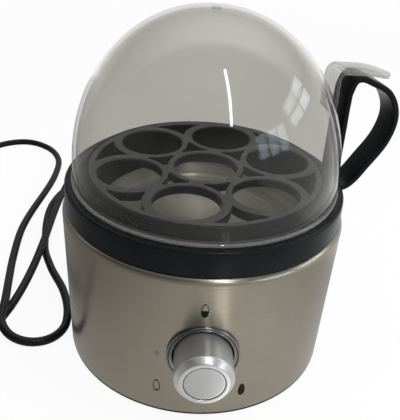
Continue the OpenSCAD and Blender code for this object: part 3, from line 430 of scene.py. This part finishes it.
# half-width, half-thickness and squareness of the plug's section change along it, from the ridged boot
# to the flat grip, which rounds off at its end
def makePlug():
    p = plug
    boot, end = p["bootL"], p["bootL"] + p["gripL"]
    x = np.concatenate([np.linspace(0, boot, 40), np.linspace(boot + 0.4, end, 40)])
    s = np.clip((x - p["spreadFrom"]) / p["spread"], 0, 1)
    s = s * s * (3 - 2 * s)
    wave = np.clip(np.sin((x - 2) * 2 * np.pi / p["ridgePitch"]), -0.2, 0.7)
    ridge = p["ridge"] * wave * (x < boot - 1) * (x > 1.5)
    nose = np.clip((x - (end - p["nose"])) / p["nose"], 0, 1)
    inset = p["noseIn"] * (1 - np.sqrt(1 - nose ** 2))
    half = (p["bootR"] + x.clip(0, boot) * p["flareY"] + ridge) * (1 - s) + p["wide"] / 2 * s - inset
    thick = (p["bootR"] + x.clip(0, boot) * p["flareZ"] + ridge) * (1 - s) + p["thick"] / 2 * s - inset
    power = 2 / (2 + p["square"] * s)[:, None]
    a = np.linspace(0, 2 * np.pi, p["sides"], endpoint=False)[None]
    y = half[:, None] * np.sign(np.cos(a)) * np.abs(np.cos(a)) ** power
    z = thick[:, None] * np.sign(np.sin(a)) * np.abs(np.sin(a)) ** power
    grid = np.stack([np.broadcast_to(p["back"] + x[:, None], y.shape), p["y"] + y, p["z"] + z], -1)
    piece = skin("plugGrip", capped(grid), "base", cordFinish, crease=50)
    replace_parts(piece, "plug_body")
    return piece


# the gland's outline: a stem inside the wall, a flange, and a tapered boot whose ribs end short of its ends
def makeGland():
    g = gland
    s = np.linspace(0, 1, 90)
    rib = g["rib"] * np.clip(np.sin(s * g["ribs"] * 2 * np.pi), -0.4, 0.6) * (s > 0.06) * (s < 0.94)
    boot = np.stack([g["bootR"] - g["taper"] * s + rib, g["flangeT"] + g["bootL"] * s], -1)
    stem = [(0, -g["stemL"]), (g["stemR"], -g["stemL"]), (g["stemR"], 0)]
    r, thick = g["flangeR"], g["flangeT"]
    flange = [(r - 0.4, 0), (r, 0.5), (r, thick - 0.5), (r - 0.5, thick)]
    p = lathe(np.concatenate([stem, flange, boot, [(0, thick + g["bootL"])]]), 64)
    grid = np.stack([p[..., 0], g["y"] + p[..., 2], g["z"] - p[..., 1]], -1)
    piece = skin("leadGland", grid, "base", cordFinish, crease=50)
    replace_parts(piece, "cord_gland")


leadPiece, leadLine = makeLead()
plugPiece = makePlug()
makeGland()

# steel body

body = {
    "lowR": 79.5, "highR": 82.0, "lowZ": 3.2, "shoulderZ": 91.5, "topZ": 95.0, "sheet": 1.0,
    "hem": 0.15, "shoulder": 3.5, "mouthR": 73.0, "mouthEdge": 0.3,
    "knobHole": 18.0, "holeFrom": 60, "holeTo": 100, "crease": 40,
}


# outer radius of the sleeve at a height
def sleeveRadius(z):
    rise = (z - body["lowZ"]) / (body["shoulderZ"] - body["lowZ"])
    return body["lowR"] + (body["highR"] - body["lowR"]) * rise


# a hemmed, leaning wall, a quarter-round shoulder and a flat flange, with the inner side a sheet's thickness
# inside, and a round hole for the knob
def makeSleeve():
    b = body
    t = np.linspace(0, np.pi / 2, 14)
    bend = np.stack([np.cos(t), np.sin(t)], -1)
    centre = np.array([b["highR"] - b["shoulder"], b["shoulderZ"]])
    low, high = np.array([b["lowR"], b["lowZ"]]), np.array([b["highR"], b["shoulderZ"]])
    hem = low + [(-b["sheet"] / 2, -0.02), (-0.12, 0), (0, b["hem"])]
    wall = hem[-1] + (high - hem[-1]) * np.linspace(0, 1, 30)[:-1, None]
    mouth = [(b["mouthR"] + b["mouthEdge"], b["topZ"]), (b["mouthR"], b["topZ"] - b["mouthEdge"])]
    under = [(b["mouthR"], b["topZ"] - b["sheet"])]
    innerBend = centre + (b["shoulder"] - b["sheet"]) * bend[::-1]
    outline = np.concatenate([hem, wall, centre + b["shoulder"] * bend, mouth,
                              under, innerBend, [low - (b["sheet"], 0)]])
    piece = skin("sleeve", lathe(outline, 256), "base", sleeveFinish,
                 loopV=True, crease=b["crease"])
    hole, start, end = b["knobHole"], b["holeFrom"], b["holeTo"]
    bore = np.array([(0, start), (hole, start), (hole, end), (0, end)])
    cutAway(piece, knobLathe(bore, 96), b["crease"])
    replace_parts(piece, "steel_sleeve")


makeSleeve()

marks = {
    "lift": 0.07, "halfW": 2.0, "halfH": 4.3, "narrow": 0.16,
    "line": {"empty": 0.8, "half": 0.84, "full": 0.84},
    "places": [(-23.8, 20.6, "empty"), (-0.8, 76.4, "half"), (23.0, 18.8, "full")],
}


# an egg's outline is an ellipse that narrows towards its top, wrapped on the sleeve just clear of the steel,
# as a line alone, with its lower half filled, or filled
def makeMarks():
    t = np.linspace(0, 2 * np.pi, 73)
    wide = marks["halfW"] * np.cos(t) * (1 - marks["narrow"] * np.sin(t))
    egg = np.stack([wide, marks["halfH"] * np.sin(t)], -1)
    low = egg[len(t) // 2:]
    fills = {"empty": [], "half": [np.stack([low, low * (1, 0)])],
             "full": [np.stack([egg, egg * 0.5, egg * 0])]}
    grids = []
    for x, z, kind in marks["places"]:
        for flat in [np.stack([egg, egg * marks["line"][kind]])] + fills[kind]:
            h = z + flat[..., 1]
            r = sleeveRadius(h) + marks["lift"]
            turn = np.arcsin(x / sleeveRadius(z)) + flat[..., 0] / r
            grids.append(np.stack([r * np.sin(turn), -r * np.cos(turn), h], -1))
    skin("eggMarks", grids, "base", inkFinish, loopU=False)


makeMarks()

# water dish

dish = {
    "flange": 72.7, "mouth": 64.2, "floor": 60.5, "rimZ": 94.8, "floorZ": 80.8, "sheet": 0.8,
    "ringR": 50, "ringW": 2.2, "ringH": 0.5,
}


# the dish's section: a flat flange, a leaning wall with round bends, and a floor with a shallow ring
# pressed up in it
def makeDish():
    d = dish
    x = d["floor"] * 0.96 * (1 - np.linspace(0, 1, 60))  # from the wall's foot to the middle
    press = d["floorZ"] + d["ringH"] * np.exp(-((x - d["ringR"]) / d["ringW"]) ** 2)
    wall = rounded([(d["flange"], d["rimZ"]), (d["mouth"], d["rimZ"]), (d["floor"], d["floorZ"]),
                    (d["floor"] * 0.94, d["floorZ"])], [0.2, 1.2, 3.0, 0.2], 8)
    underside = [(d["floor"] + d["sheet"], d["floorZ"] - d["sheet"] + 1.5),
                 (d["mouth"] + d["sheet"], d["rimZ"] - d["sheet"]), (d["flange"], d["rimZ"] - d["sheet"])]
    outline = np.concatenate([wall, np.stack([x, press], -1), np.stack([x, press - d["sheet"]], -1)[::-1],
                              underside])
    piece = skin("waterDish", lathe(outline, 192), "base", dishFinish, loopV=True)
    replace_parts(piece, "heating_dish")


makeDish()
print("steel body made")

# knob, button, bezel and pilot lamp

knob = {
    "r": 15.5, "face": 101.72, "back": 78.3, "chamfer": 3.2, "bevel": 2.5, "hollow": 13.5,
    "bore": 10.9, "floor": 95.5, "floorT": 3,
}
button = {"r": 10.6, "face": 101.52, "back": 98.0, "dished": 0.15}
bezel = {"r": 19.5, "inner": 16.1, "out": 1.6, "rim": 5.4, "collarR": 17.8, "collar": 6.5}
pilot = {"x": -24.0, "z": 44.0, "r": 1.2, "back": 65.8, "proud": 0.2, "dome": 0.3}


# the knob's outline: a plain barrel, a wide front chamfer, a flat face and the well that the button sits in
def makeKnob():
    k = knob
    inside = k["floor"] - k["floorT"]
    outline = rounded([
        (0, inside), (k["hollow"], inside), (k["hollow"], k["back"]), (k["r"], k["back"]),
        (k["r"], k["face"] - k["chamfer"]), (k["r"] - k["bevel"], k["face"]), (k["bore"], k["face"]),
        (k["bore"], k["floor"]), (0, k["floor"])],
        [0.05, 0.5, 0.3, 0.3, 0.5, 0.5, 0.3, 0.3, 0.05], 6)
    piece = skin("hardnessKnob", knobLathe(outline), "knob_body", knobFinish, loopV=True)
    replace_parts(piece, "knob")


# the button's disc has a bevelled rim and a face that is dished by a fraction of a millimetre
def makeButton():
    r, face, back = button["r"], button["face"], button["back"]
    s = np.linspace(1, 0, 24)
    dished = np.stack([(r - 0.5) * s, face - button["dished"] * (1 - s ** 2)], -1)
    side = [(0, back), (r - 0.2, back), (r, back + 0.2), (r, face - 0.45), (r - 0.12, face - 0.14)]
    grid = knobLathe(np.concatenate([side, dished]))
    piece = skin("startButton", grid, "button_body", buttonFinish)
    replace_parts(piece, "push_button")


# the bezel's outline: a plain rim, a round crest, a shallow dished ring down to the knob, and a collar
# through the wall
def makeBezel():
    b, out = bezel, front["sleeveR"] + bezel["out"]
    outline = rounded([
        (b["inner"], out - b["collar"]), (b["collarR"], out - b["collar"]), (b["collarR"], out - b["rim"]),
        (b["r"], out - b["rim"]), (b["r"], out - 0.5), (b["r"] - 0.4, out), (b["r"] - 0.9, out - 0.1),
        (18.2, out - 0.9), (17.3, out - 1.2), (17.0, out - 0.8), (16.5, out - 0.8), (b["inner"], out - 1.4)],
        [0.1, 0.1, 0.1, 0.1, 0.3, 0.3, 0.3, 0.4, 0.2, 0.2, 0.2, 0.3], 6)
    piece = skin("knobBezel", knobLathe(outline, 160), "base", bezelFinish, loopV=True)
    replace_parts(piece, "knob_bezel")


# a light guide: a plain pin whose outer end is a low dome
def makePilot():
    r, back = pilot["r"], pilot["back"]
    face = math.sqrt(sleeveRadius(pilot["z"]) ** 2 - pilot["x"] ** 2) + pilot["proud"]
    t = np.linspace(0, np.pi / 2, 10)
    dome = np.stack([r * np.cos(t), face + pilot["dome"] * np.sin(t)], -1)
    p = lathe(np.concatenate([[(0, back), (r, back), (r, face)], dome]), 32)
    grid = np.stack([pilot["x"] + p[..., 0], -p[..., 2], pilot["z"] + p[..., 1]], -1)
    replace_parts(skin("pilotLamp", grid, "base", lampFinish), "pilot_lens")


makeKnob()
makeButton()
makeBezel()
makePilot()
print("knob made")

# egg carrier

carrier = {
    "r": 80.3, "low": 95.3, "top": 110.0, "wall": 3.0, "edge": 2.0, "ledge": 2.5,
    "lipR": 62.6, "lipWall": 1.5, "lipDown": 4.5, "lipShelf": 2,
    "trayR": 69.0, "trayWall": 2.5, "trayTop": 117.1, "trayT": 2.5, "trayLap": 0.6, "trayBevel": 0.5,
    "holes": 6, "holeR": 18.5, "pitchR": 44.6, "turn": 15.0,
    "collar": 3.0, "collarWall": 1.5, "collarBelowTop": 0.7,
    "gapIn": 25.75, "gapInReach": 8.7, "webIn": 3.2,
    "gapOut": 57.5, "gapOutReach": 22.0, "webOut": 5.0, "gapOutR": 63.5, "gapWall": 1.2,
}


# the ring's section: outer wall, ledge, inner wall that rounds over into the tray, and the lip
# that finds the dish
def makeRing():
    c = carrier
    r, low, top, tray, lip = c["r"], c["low"], c["top"], c["trayR"], c["lipR"]
    outline = rounded([
        (r - c["wall"], low), (r, low), (r, top), (tray + 0.2, top), (tray, c["trayTop"]),
        (tray - c["trayWall"], c["trayTop"]), (tray - c["trayWall"], low + c["lipShelf"]),
        (lip - c["lipWall"], low + c["lipShelf"]), (lip - c["lipWall"], low - c["lipDown"]),
        (lip, low - c["lipDown"]), (lip, low), (tray, low), (tray, top - c["ledge"]),
        (r - c["wall"], top - c["ledge"])],
        [0.3, 0.4, c["edge"], 0.8, 2.2, 0.1, 0.5, 0.4, 0.4, 0.4, 0.3, 0.3, 0.5, 0.5], 8)
    piece = skin("carrierRing", lathe(outline, 256), "carrier", blackFinish,
                 loopV=True, crease=30)
    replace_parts(piece, "carrier_ring")


# places of the egg holes: one in the middle and the others evenly on a circle
def holePlaces():
    a = np.radians(carrier["turn"] + 360 / carrier["holes"] * np.arange(carrier["holes"]))
    return np.concatenate([[(0, 0)], carrier["pitchR"] * np.stack([np.cos(a), np.sin(a)], -1)])


# an opening is seen from its middle: in each direction it ends at the nearest of the circles round the holes
# and its own limits
def gapOutline(middle, limit, web, outerR=None):
    t = np.linspace(0, 2 * np.pi, 90, endpoint=False)
    d = np.stack([np.cos(t), np.sin(t)], -1)
    reach = np.full(len(t), limit)
    for hole in holePlaces():
        v = middle - hole
        b = d @ v
        under = b ** 2 - (v @ v - (carrier["holeR"] + web) ** 2)
        hit = -b - np.sqrt(np.clip(under, 0, None))
        reach = np.where((under > 0) & (hit > 0), np.minimum(reach, hit), reach)
    if outerR:
        b = d @ middle
        reach = np.minimum(reach, -b + np.sqrt(b ** 2 - (middle @ middle - outerR ** 2)))
    return middle + d * reach[:, None]


# the openings between the holes: their middles and outlines, inner and outer in turn
def gapOutlines():
    c, found = carrier, []
    for k in range(c["holes"]):
        a = math.radians(c["turn"] + 360 / c["holes"] * (k + 0.5))
        way = np.array([math.cos(a), math.sin(a)])
        near, far = way * c["gapIn"], way * c["gapOut"]
        found.append((near, gapOutline(near, c["gapInReach"], c["webIn"])))
        found.append((far, gapOutline(far, c["gapOutReach"], c["webOut"], c["gapOutR"])))
    return found


# a flat sheet with a bevelled edge round its rim and round every opening, from closed outlines
def makeTray():
    c = carrier
    t = np.linspace(0, 2 * np.pi, 160, endpoint=False)
    ring = np.stack([np.cos(t), np.sin(t)], -1)
    outlines = [(c["trayR"] - c["trayWall"] + c["trayLap"]) * ring]
    outlines += [place + c["holeR"] * ring for place in holePlaces()]
    outlines += [outline for middle, outline in gapOutlines()]
    flat = bpy.data.curves.new("trayPlate", "CURVE")
    flat.dimensions = "2D"
    flat.fill_mode = "BOTH"
    flat.extrude = (c["trayT"] / 2 - c["trayBevel"]) * mm
    flat.bevel_depth = c["trayBevel"] * mm
    flat.bevel_resolution = 2
    flat.offset = -c["trayBevel"] * mm
    for outline in outlines:
        count = len(outline)
        places = np.column_stack([outline * mm, np.zeros(count), np.ones(count)])
        line = flat.splines.new("POLY")
        line.points.add(count - 1)
        line.points.foreach_set("co", places.ravel())
        line.use_cyclic_u = True
    holder = bpy.data.objects.new("trayCurve", flat)
    scene.collection.objects.link(holder)
    mesh = finishedMesh(holder)
    bpy.data.objects.remove(holder)
    mesh.name = "trayPlate"
    mesh.transform(Matrix.Translation((0, 0, (c["trayTop"] - c["trayT"] / 2) * mm)))
    mend(mesh, gap=1e-6)
    piece = dress(bpy.data.objects.new("trayPlate", mesh), "carrier", trayFinish)
    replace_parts(piece, "egg_tray")


# a thin collar with round edges goes down from the plate round each hole, and a plain one round each opening
def makeCollars():
    c = carrier
    low, high = c["trayTop"] - c["trayT"] - c["collar"], c["trayTop"] - c["collarBelowTop"]
    inner, outer = c["holeR"], c["holeR"] + c["collarWall"]
    outline = rounded([(inner, low), (outer, low), (outer, high), (inner, high)], [0.4, 0.4, 0.2, 0.2], 5)
    grids = [lathe(outline, 96, place) for place in holePlaces()]
    for middle, gap in gapOutlines():
        wide = gap + unit(gap - middle) * c["gapWall"]
        section = [(gap, low), (wide, low), (wide, high), (gap, high)]
        grids.append(np.stack([np.column_stack([flat, np.full(len(flat), z)]) for flat, z in section]))
    piece = skin("eggCollars", grids, "carrier", blackFinish, loopV=True)
    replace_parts(piece, "egg_collars")


makeRing()
makeTray()
makeCollars()

handle = {
    "turn": 12.0, "w": 18.0, "t": 3.5, "armR": 78.95, "foot": 104.3, "top": 171.5, "reach": 32.0,
    "ring": 110.0, "ringH": 14.7, "rise": 61.5,
    "blockR": 76.0, "blockLow": 97.2, "blockTop": 107.2, "blockT": 11.6,
}


# the strap goes up beside the lid, over, out and back down to the ring, and a block inside the ring
# holds both its ends
def makeHandle():
    h = handle
    a, top, ring, rise, reach, t = h["armR"], h["top"], h["ring"], h["rise"], h["reach"], h["t"]
    crest = top - t / 2
    line = smoothLine([
        (a, h["foot"]), (a, ring + rise * 0.5), (a, top - 15), (a + 0.5, top - 9), (a + 4, crest - 0.6),
        (a + reach * 0.45, crest - 3), (a + reach * 0.8, crest - 9.5), (a + reach, top - rise * 0.4),
        (a + reach * 0.93, ring + rise * 0.36), (a + reach * 0.62, ring + rise * 0.1),
        (a + reach * 0.28, ring - h["ringH"] * 0.48), (a + t / 2 + 0.4, ring - h["ringH"] * 0.62)], 1.0)
    z = np.linspace(h["blockLow"], h["blockTop"], 9)
    block = np.stack([np.full(len(z), h["blockR"]), z], -1)
    grids = [strap(line, np.full(len(line), h["w"] / 2), t, h["turn"]),
             strap(block, np.full(len(z), h["w"] / 2 - 0.05), h["blockT"], h["turn"], edgeR=0.6)]
    piece = skin("carryHandle", grids, "carrier", blackFinish, crease=40)
    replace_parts(piece, "carrier_handle")


makeHandle()
print("egg carrier made")

# lid

lid = {
    "r": 75.6, "low": 110.3, "wallH": 9.2, "capH": 87.9, "t": 2.2, "power": 2.08,
    "flangeR": 76.5, "flangeT": 2.0, "vent": 2.5,
    "tabR": 70.9, "tabLow": 149.8, "tabTop": 175.1, "tabT": 2.8, "tabHalf": 9.0,
    "tabBend": 4.5, "tabReach": 34.0,
}


# a superellipse of radius and height above the upright foot, from its widest place to the vent
def domeCurve(r, h):
    power = 2 / lid["power"]
    t = np.linspace(0, math.acos((lid["vent"] / r) ** (lid["power"] / 2)), 90)
    return np.stack([r * np.cos(t) ** power, lid["low"] + lid["wallH"] + h * np.sin(t) ** power], -1)


# the dome's wall is a superellipse outside and inside, on a foot with a flange, open at the vent in its top
def makeDome():
    d = lid
    low, ledge, inside = d["low"], d["low"] + d["flangeT"], d["r"] - d["t"]
    foot = rounded([(inside, low), (d["flangeR"], low), (d["flangeR"], ledge), (d["r"], ledge)],
                   [0.3, 0.5, 0.5, 0.3], 5)
    outerCurve, innerCurve = domeCurve(d["r"], d["capH"]), domeCurve(inside, d["capH"] - d["t"])
    grid = lathe(np.concatenate([foot, outerCurve, innerCurve[::-1]]), 256)
    piece = skin("domeLid", grid, "lid", domeFinish, loopV=True, crease=40)
    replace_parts(piece, "lid_dome")


# the tab rises out of the dome's wall, bends over the handle's top and ends in a round tongue
def makeTab():
    d = lid
    r, reach, crest, half = d["tabR"], d["tabReach"], d["tabTop"] - d["tabT"] / 2, d["tabHalf"]
    t = np.radians(np.linspace(180, 95, 16))
    bend = d["tabBend"]
    arc = np.array([r + bend, crest - bend]) + bend * np.stack([np.cos(t), np.sin(t)], -1)
    rise = np.linspace(d["tabLow"], arc[0, 1], 13)[:-1]
    lip = smoothLine([arc[-1], (r + reach * 0.6, crest - 1.2), (r + reach, crest - 4)], 0.8)
    line = np.concatenate([np.stack([np.full(len(rise), r), rise], -1), arc, lip[1:]])
    left = r + reach + 0.3 - line[:, 0]  # distance to the tongue's tip
    widths = np.where(left < half, np.sqrt(np.clip(half ** 2 - (half - left) ** 2, 0.3, None)), half)
    tongue = strap(line, widths, d["tabT"], handle["turn"], edgeR=0.8)
    skin("thumbTab", tongue, "lid", tabFinish, crease=50)


makeDome()
makeTab()
print("lid made")

# materials for the CAD nodes that stay

innerFinishes = {
    "fastener_steel": brushed("fastenerSteel", (0.55, 0.55, 0.54), 0.3, lines=(300, 300, 300)),
    "black_plastic": blackFinish,
    "inner_plastic": moulded("innerPlastic", (0.07, 0.07, 0.075), 0.5),
    "black_rubber": moulded("footRubber", (0.016, 0.016, 0.016), 0.7, grain=700, relief=0.06),
    "seal_silicone": moulded("sealSilicone", (0.32, 0.07, 0.05), 0.55),
    "spreader_aluminium": brushed("rolledAluminium", (0.60, 0.61, 0.62), 0.35, lines=(1600, 30, 30)),
    "element_steel": brushed("heatedSteel", (0.20, 0.18, 0.17), 0.45, lines=(400, 400, 90), vary=0.35),
    "contact_brass": brushed("platedBrass", (0.62, 0.46, 0.20), 0.28, lines=(500, 60, 500)),
    "thermostat_resin": moulded("brownResin", (0.24, 0.13, 0.05), 0.5),
    "fuse_ceramic": moulded("glazedCeramic", (0.66, 0.63, 0.56), 0.25, vary=0.08),
    "control_plastic": moulded("greenPlastic", (0.05, 0.13, 0.08), 0.4),
    "board_green": moulded("boardLacquer", (0.02, 0.14, 0.06), 0.25, grain=300, vary=0.4),
    "relay_blue": moulded("bluePlastic", (0.03, 0.09, 0.22), 0.35),
    "wire_red": moulded("redSilicone", (0.36, 0.05, 0.035), 0.55),
    "lamp_teal": lampFinish,
}
slotOf = {part["node"]: part["material_slot"] for part in frame["record"]["subparts"]}
for nodeName, node in nodes.items():
    if slotOf[nodeName] in innerFinishes:
        node.data.materials.clear()
        node.data.materials.append(innerFinishes[slotOf[nodeName]])
print("inner pieces finished")

# floor, surroundings and lamps

stage = {
    "floor": 6.0, "floorColour": (0.86, 0.86, 0.855), "floorDull": 0.985,
    "whiteShare": 0.9, "farFrom": 0.6, "farTo": 1.6,
    # painted light on the floor, seen only in mirrors: a pool round a middle point, and a band at the back
    # right like a white card's
    "paintedPool": (0.07, -0.155, 0), "paintedPoolNear": 0.055, "paintedPoolFar": 0.28, "paintedPoolEdge": 0.33,
    "paintedCardWay": (1, 0.7, 0), "paintedCardNear": 0.15, "paintedCardFar": 0.23,
    "ambient": 0.34, "ambientColour": (1, 0.985, 0.96, 1),
    "ceiling": 0.1, "skyline": (0.15, 0.5), "glow": 0.5, "glowRise": (0.6, 1.0),
    "backLow": 0.3, "backHigh": 3.0, "backRise": (0.3, 0.95), "backEdge": (0.17, 0.31),
    "leftDim": 0.4, "leftEdge": (-0.7, 0.4),
}
white = (1, 1, 1, 1)


# the light path's camera ray, and 1 where the ray comes from the camera, a mirror or a see-through surface
def seenRay(f):
    path = f.node("LightPath").outputs
    camera = path["Is Camera Ray"]
    mirrored = f.maths("MAXIMUM", camera, path["Is Glossy Ray"])
    return camera, f.maths("MAXIMUM", mirrored, path["Is Transmission Ray"])


# a matte floor which mirrors see as a painted pool of light that falls off with the distance from its middle,
# and that is painted brighter again at the back right, like a white card's reflection; far out it is as white
# as the backdrop
def makeFloor():
    f = Finish("paleFloor")
    place = f.node("TexCoord").outputs["Object"]
    dull = [c * stage["floorDull"] for c in stage["floorColour"]]
    colour = f.between(f.ranged(f.noise((3, 3, 3)), 0, 1), dull, stage["floorColour"])
    camera, seen = seenRay(f)
    # painted light for mirrors: a pool that fades with distance, and a bright band towards the back right
    away = f.vectors("DISTANCE", place, stage["paintedPool"], "Value")
    paintedPool = f.ranged(away, 1.0, stage["paintedPoolEdge"], stage["paintedPoolNear"], stage["paintedPoolFar"])
    across = f.vectors("DOT_PRODUCT", place, stage["paintedCardWay"], "Value")
    paintedCard = f.ranged(across, 0.0, 1.0, stage["paintedCardNear"], stage["paintedCardFar"])
    strength = f.maths("MAXIMUM", camera, f.maths("MAXIMUM", paintedPool, paintedCard))
    far = f.ranged(away, stage["whiteShare"], 1.0, stage["farFrom"], stage["farTo"])
    share = f.maths("MULTIPLY", seen, far)
    matte = f.node("BsdfDiffuse", {"Color": colour})
    f.swapShader(f.blend(share, matte, f.node("Emission", {"Color": white, "Strength": strength})))
    s = stage["floor"] / 2
    mesh = bpy.data.meshes.new("studioFloor")
    mesh.from_pydata([(-s, -s, 0), (s, -s, 0), (s, s, 0), (-s, s, 0)], [], [(0, 1, 2, 3)])
    mesh.materials.append(f.mat)
    floor = bpy.data.objects.new("studioFloor", mesh)
    scene.collection.objects.link(floor)


# an even ambient light and a white backdrop for the camera; for mirrors a white skyline under a dim ceiling,
# a sky that grows brighter upwards behind the object, all dimmer to the left, and a soft glow at the very top
def makeSurround():
    world = bpy.data.worlds.new("studio")
    world.use_nodes = True
    scene.world = world
    f = NodeTree(world.node_tree)
    f.tree.nodes.clear()
    way = f.node("SeparateXYZ", {0: f.node("TexCoord").outputs["Generated"]}).outputs
    skyline = f.ranged(way["Z"], 1.0, stage["ceiling"], *stage["skyline"])
    behind = f.ranged(way["Y"], 0.0, 1.0, *stage["backEdge"])
    risen = f.ranged(way["Z"], stage["backLow"], stage["backHigh"], *stage["backRise"])
    leftFall = f.ranged(way["X"], stage["leftDim"], 1.0, *stage["leftEdge"])
    sky = f.maths("MAXIMUM", skyline, f.maths("MULTIPLY", behind, risen))
    wall = f.maths("MULTIPLY", sky, leftFall)
    glow = f.ranged(way["Z"], 0.0, stage["glow"], *stage["glowRise"], interpolation_type="SMOOTHSTEP")
    camera, seen = seenRay(f)
    strength = f.maths("MAXIMUM", camera, f.maths("ADD", wall, glow))
    shown = f.node("Background", {"Color": white, "Strength": strength})
    even = f.node("Background", {"Color": stage["ambientColour"], "Strength": stage["ambient"]})
    f.tree.links.new(f.blend(seen, even, shown).outputs[0], f.node("OutputWorld").inputs["Surface"])


lamps = [
    {"name": "overhead", "at": (0.05, -0.1, 1.3), "aim": (0, 0, 0.1), "size": (1.6, 1.5), "panes": (1, 1),
     "power": 11.0, "colour": (1, 0.985, 0.96), "mirrored": False},
    {"name": "strip", "at": (0.213, -0.55, 0.96), "aim": (0.106, -0.024, 0.18), "size": (0.03, 0.78),
     "panes": (1, 1), "power": 3.6, "colour": (1, 1, 1), "mirrored": True},
    {"name": "window", "at": (0.945, 0.03, 0.585), "aim": (0.03, -0.03, 0.16), "size": (0.6, 0.3),
     "panes": (2, 2), "power": 2.2, "colour": (0.86, 0.94, 1), "mirrored": True},
    {"name": "frontWindow", "at": (0.82, -0.62, 0.45), "aim": (0.03, -0.06, 0.15), "size": (0.54, 0.28),
     "panes": (3, 1), "power": 1.9, "colour": (0.74, 0.88, 1), "mirrored": True},
    {"name": "tableStrip", "at": (0.037, -0.175, 0.004), "aim": (0.084, -0.159, 1.0), "size": (0.15, 0.024),
     "panes": (1, 1), "power": 0.0135, "colour": (1, 1, 1), "mirrored": True},
]
paneGap = 0.035


# a rectangular lamp that faces a point, in one piece or split into panes like a window's, with bars between
def makeLamps():
    for one in lamps:
        back = unit(np.array(one["at"]) - np.array(one["aim"]))
        side = unit(np.cross([0, 0, 1], back))
        up = np.cross(back, side)
        across, down = one["panes"]
        wide, tall = one["size"][0] / across, one["size"][1] / down
        for k in range(across * down):
            right, rise = k % across - (across - 1) / 2, k // across - (down - 1) / 2
            data = bpy.data.lights.new(one["name"], "AREA")
            data.shape = "RECTANGLE"
            data.size = wide - paneGap * (across > 1)
            data.size_y = tall - paneGap * (down > 1)
            data.energy = one["power"] / (across * down)
            data.color = one["colour"]
            light = bpy.data.objects.new(one["name"], data)
            light.visible_glossy, light.visible_camera = one["mirrored"], False
            scene.collection.objects.link(light)
            light.matrix_world = standing(side, up, back, one["at"] + side * wide * right + up * tall * rise)


makeFloor()
makeSurround()
makeLamps()
scene.view_settings.view_transform = "Standard"
print("studio made")
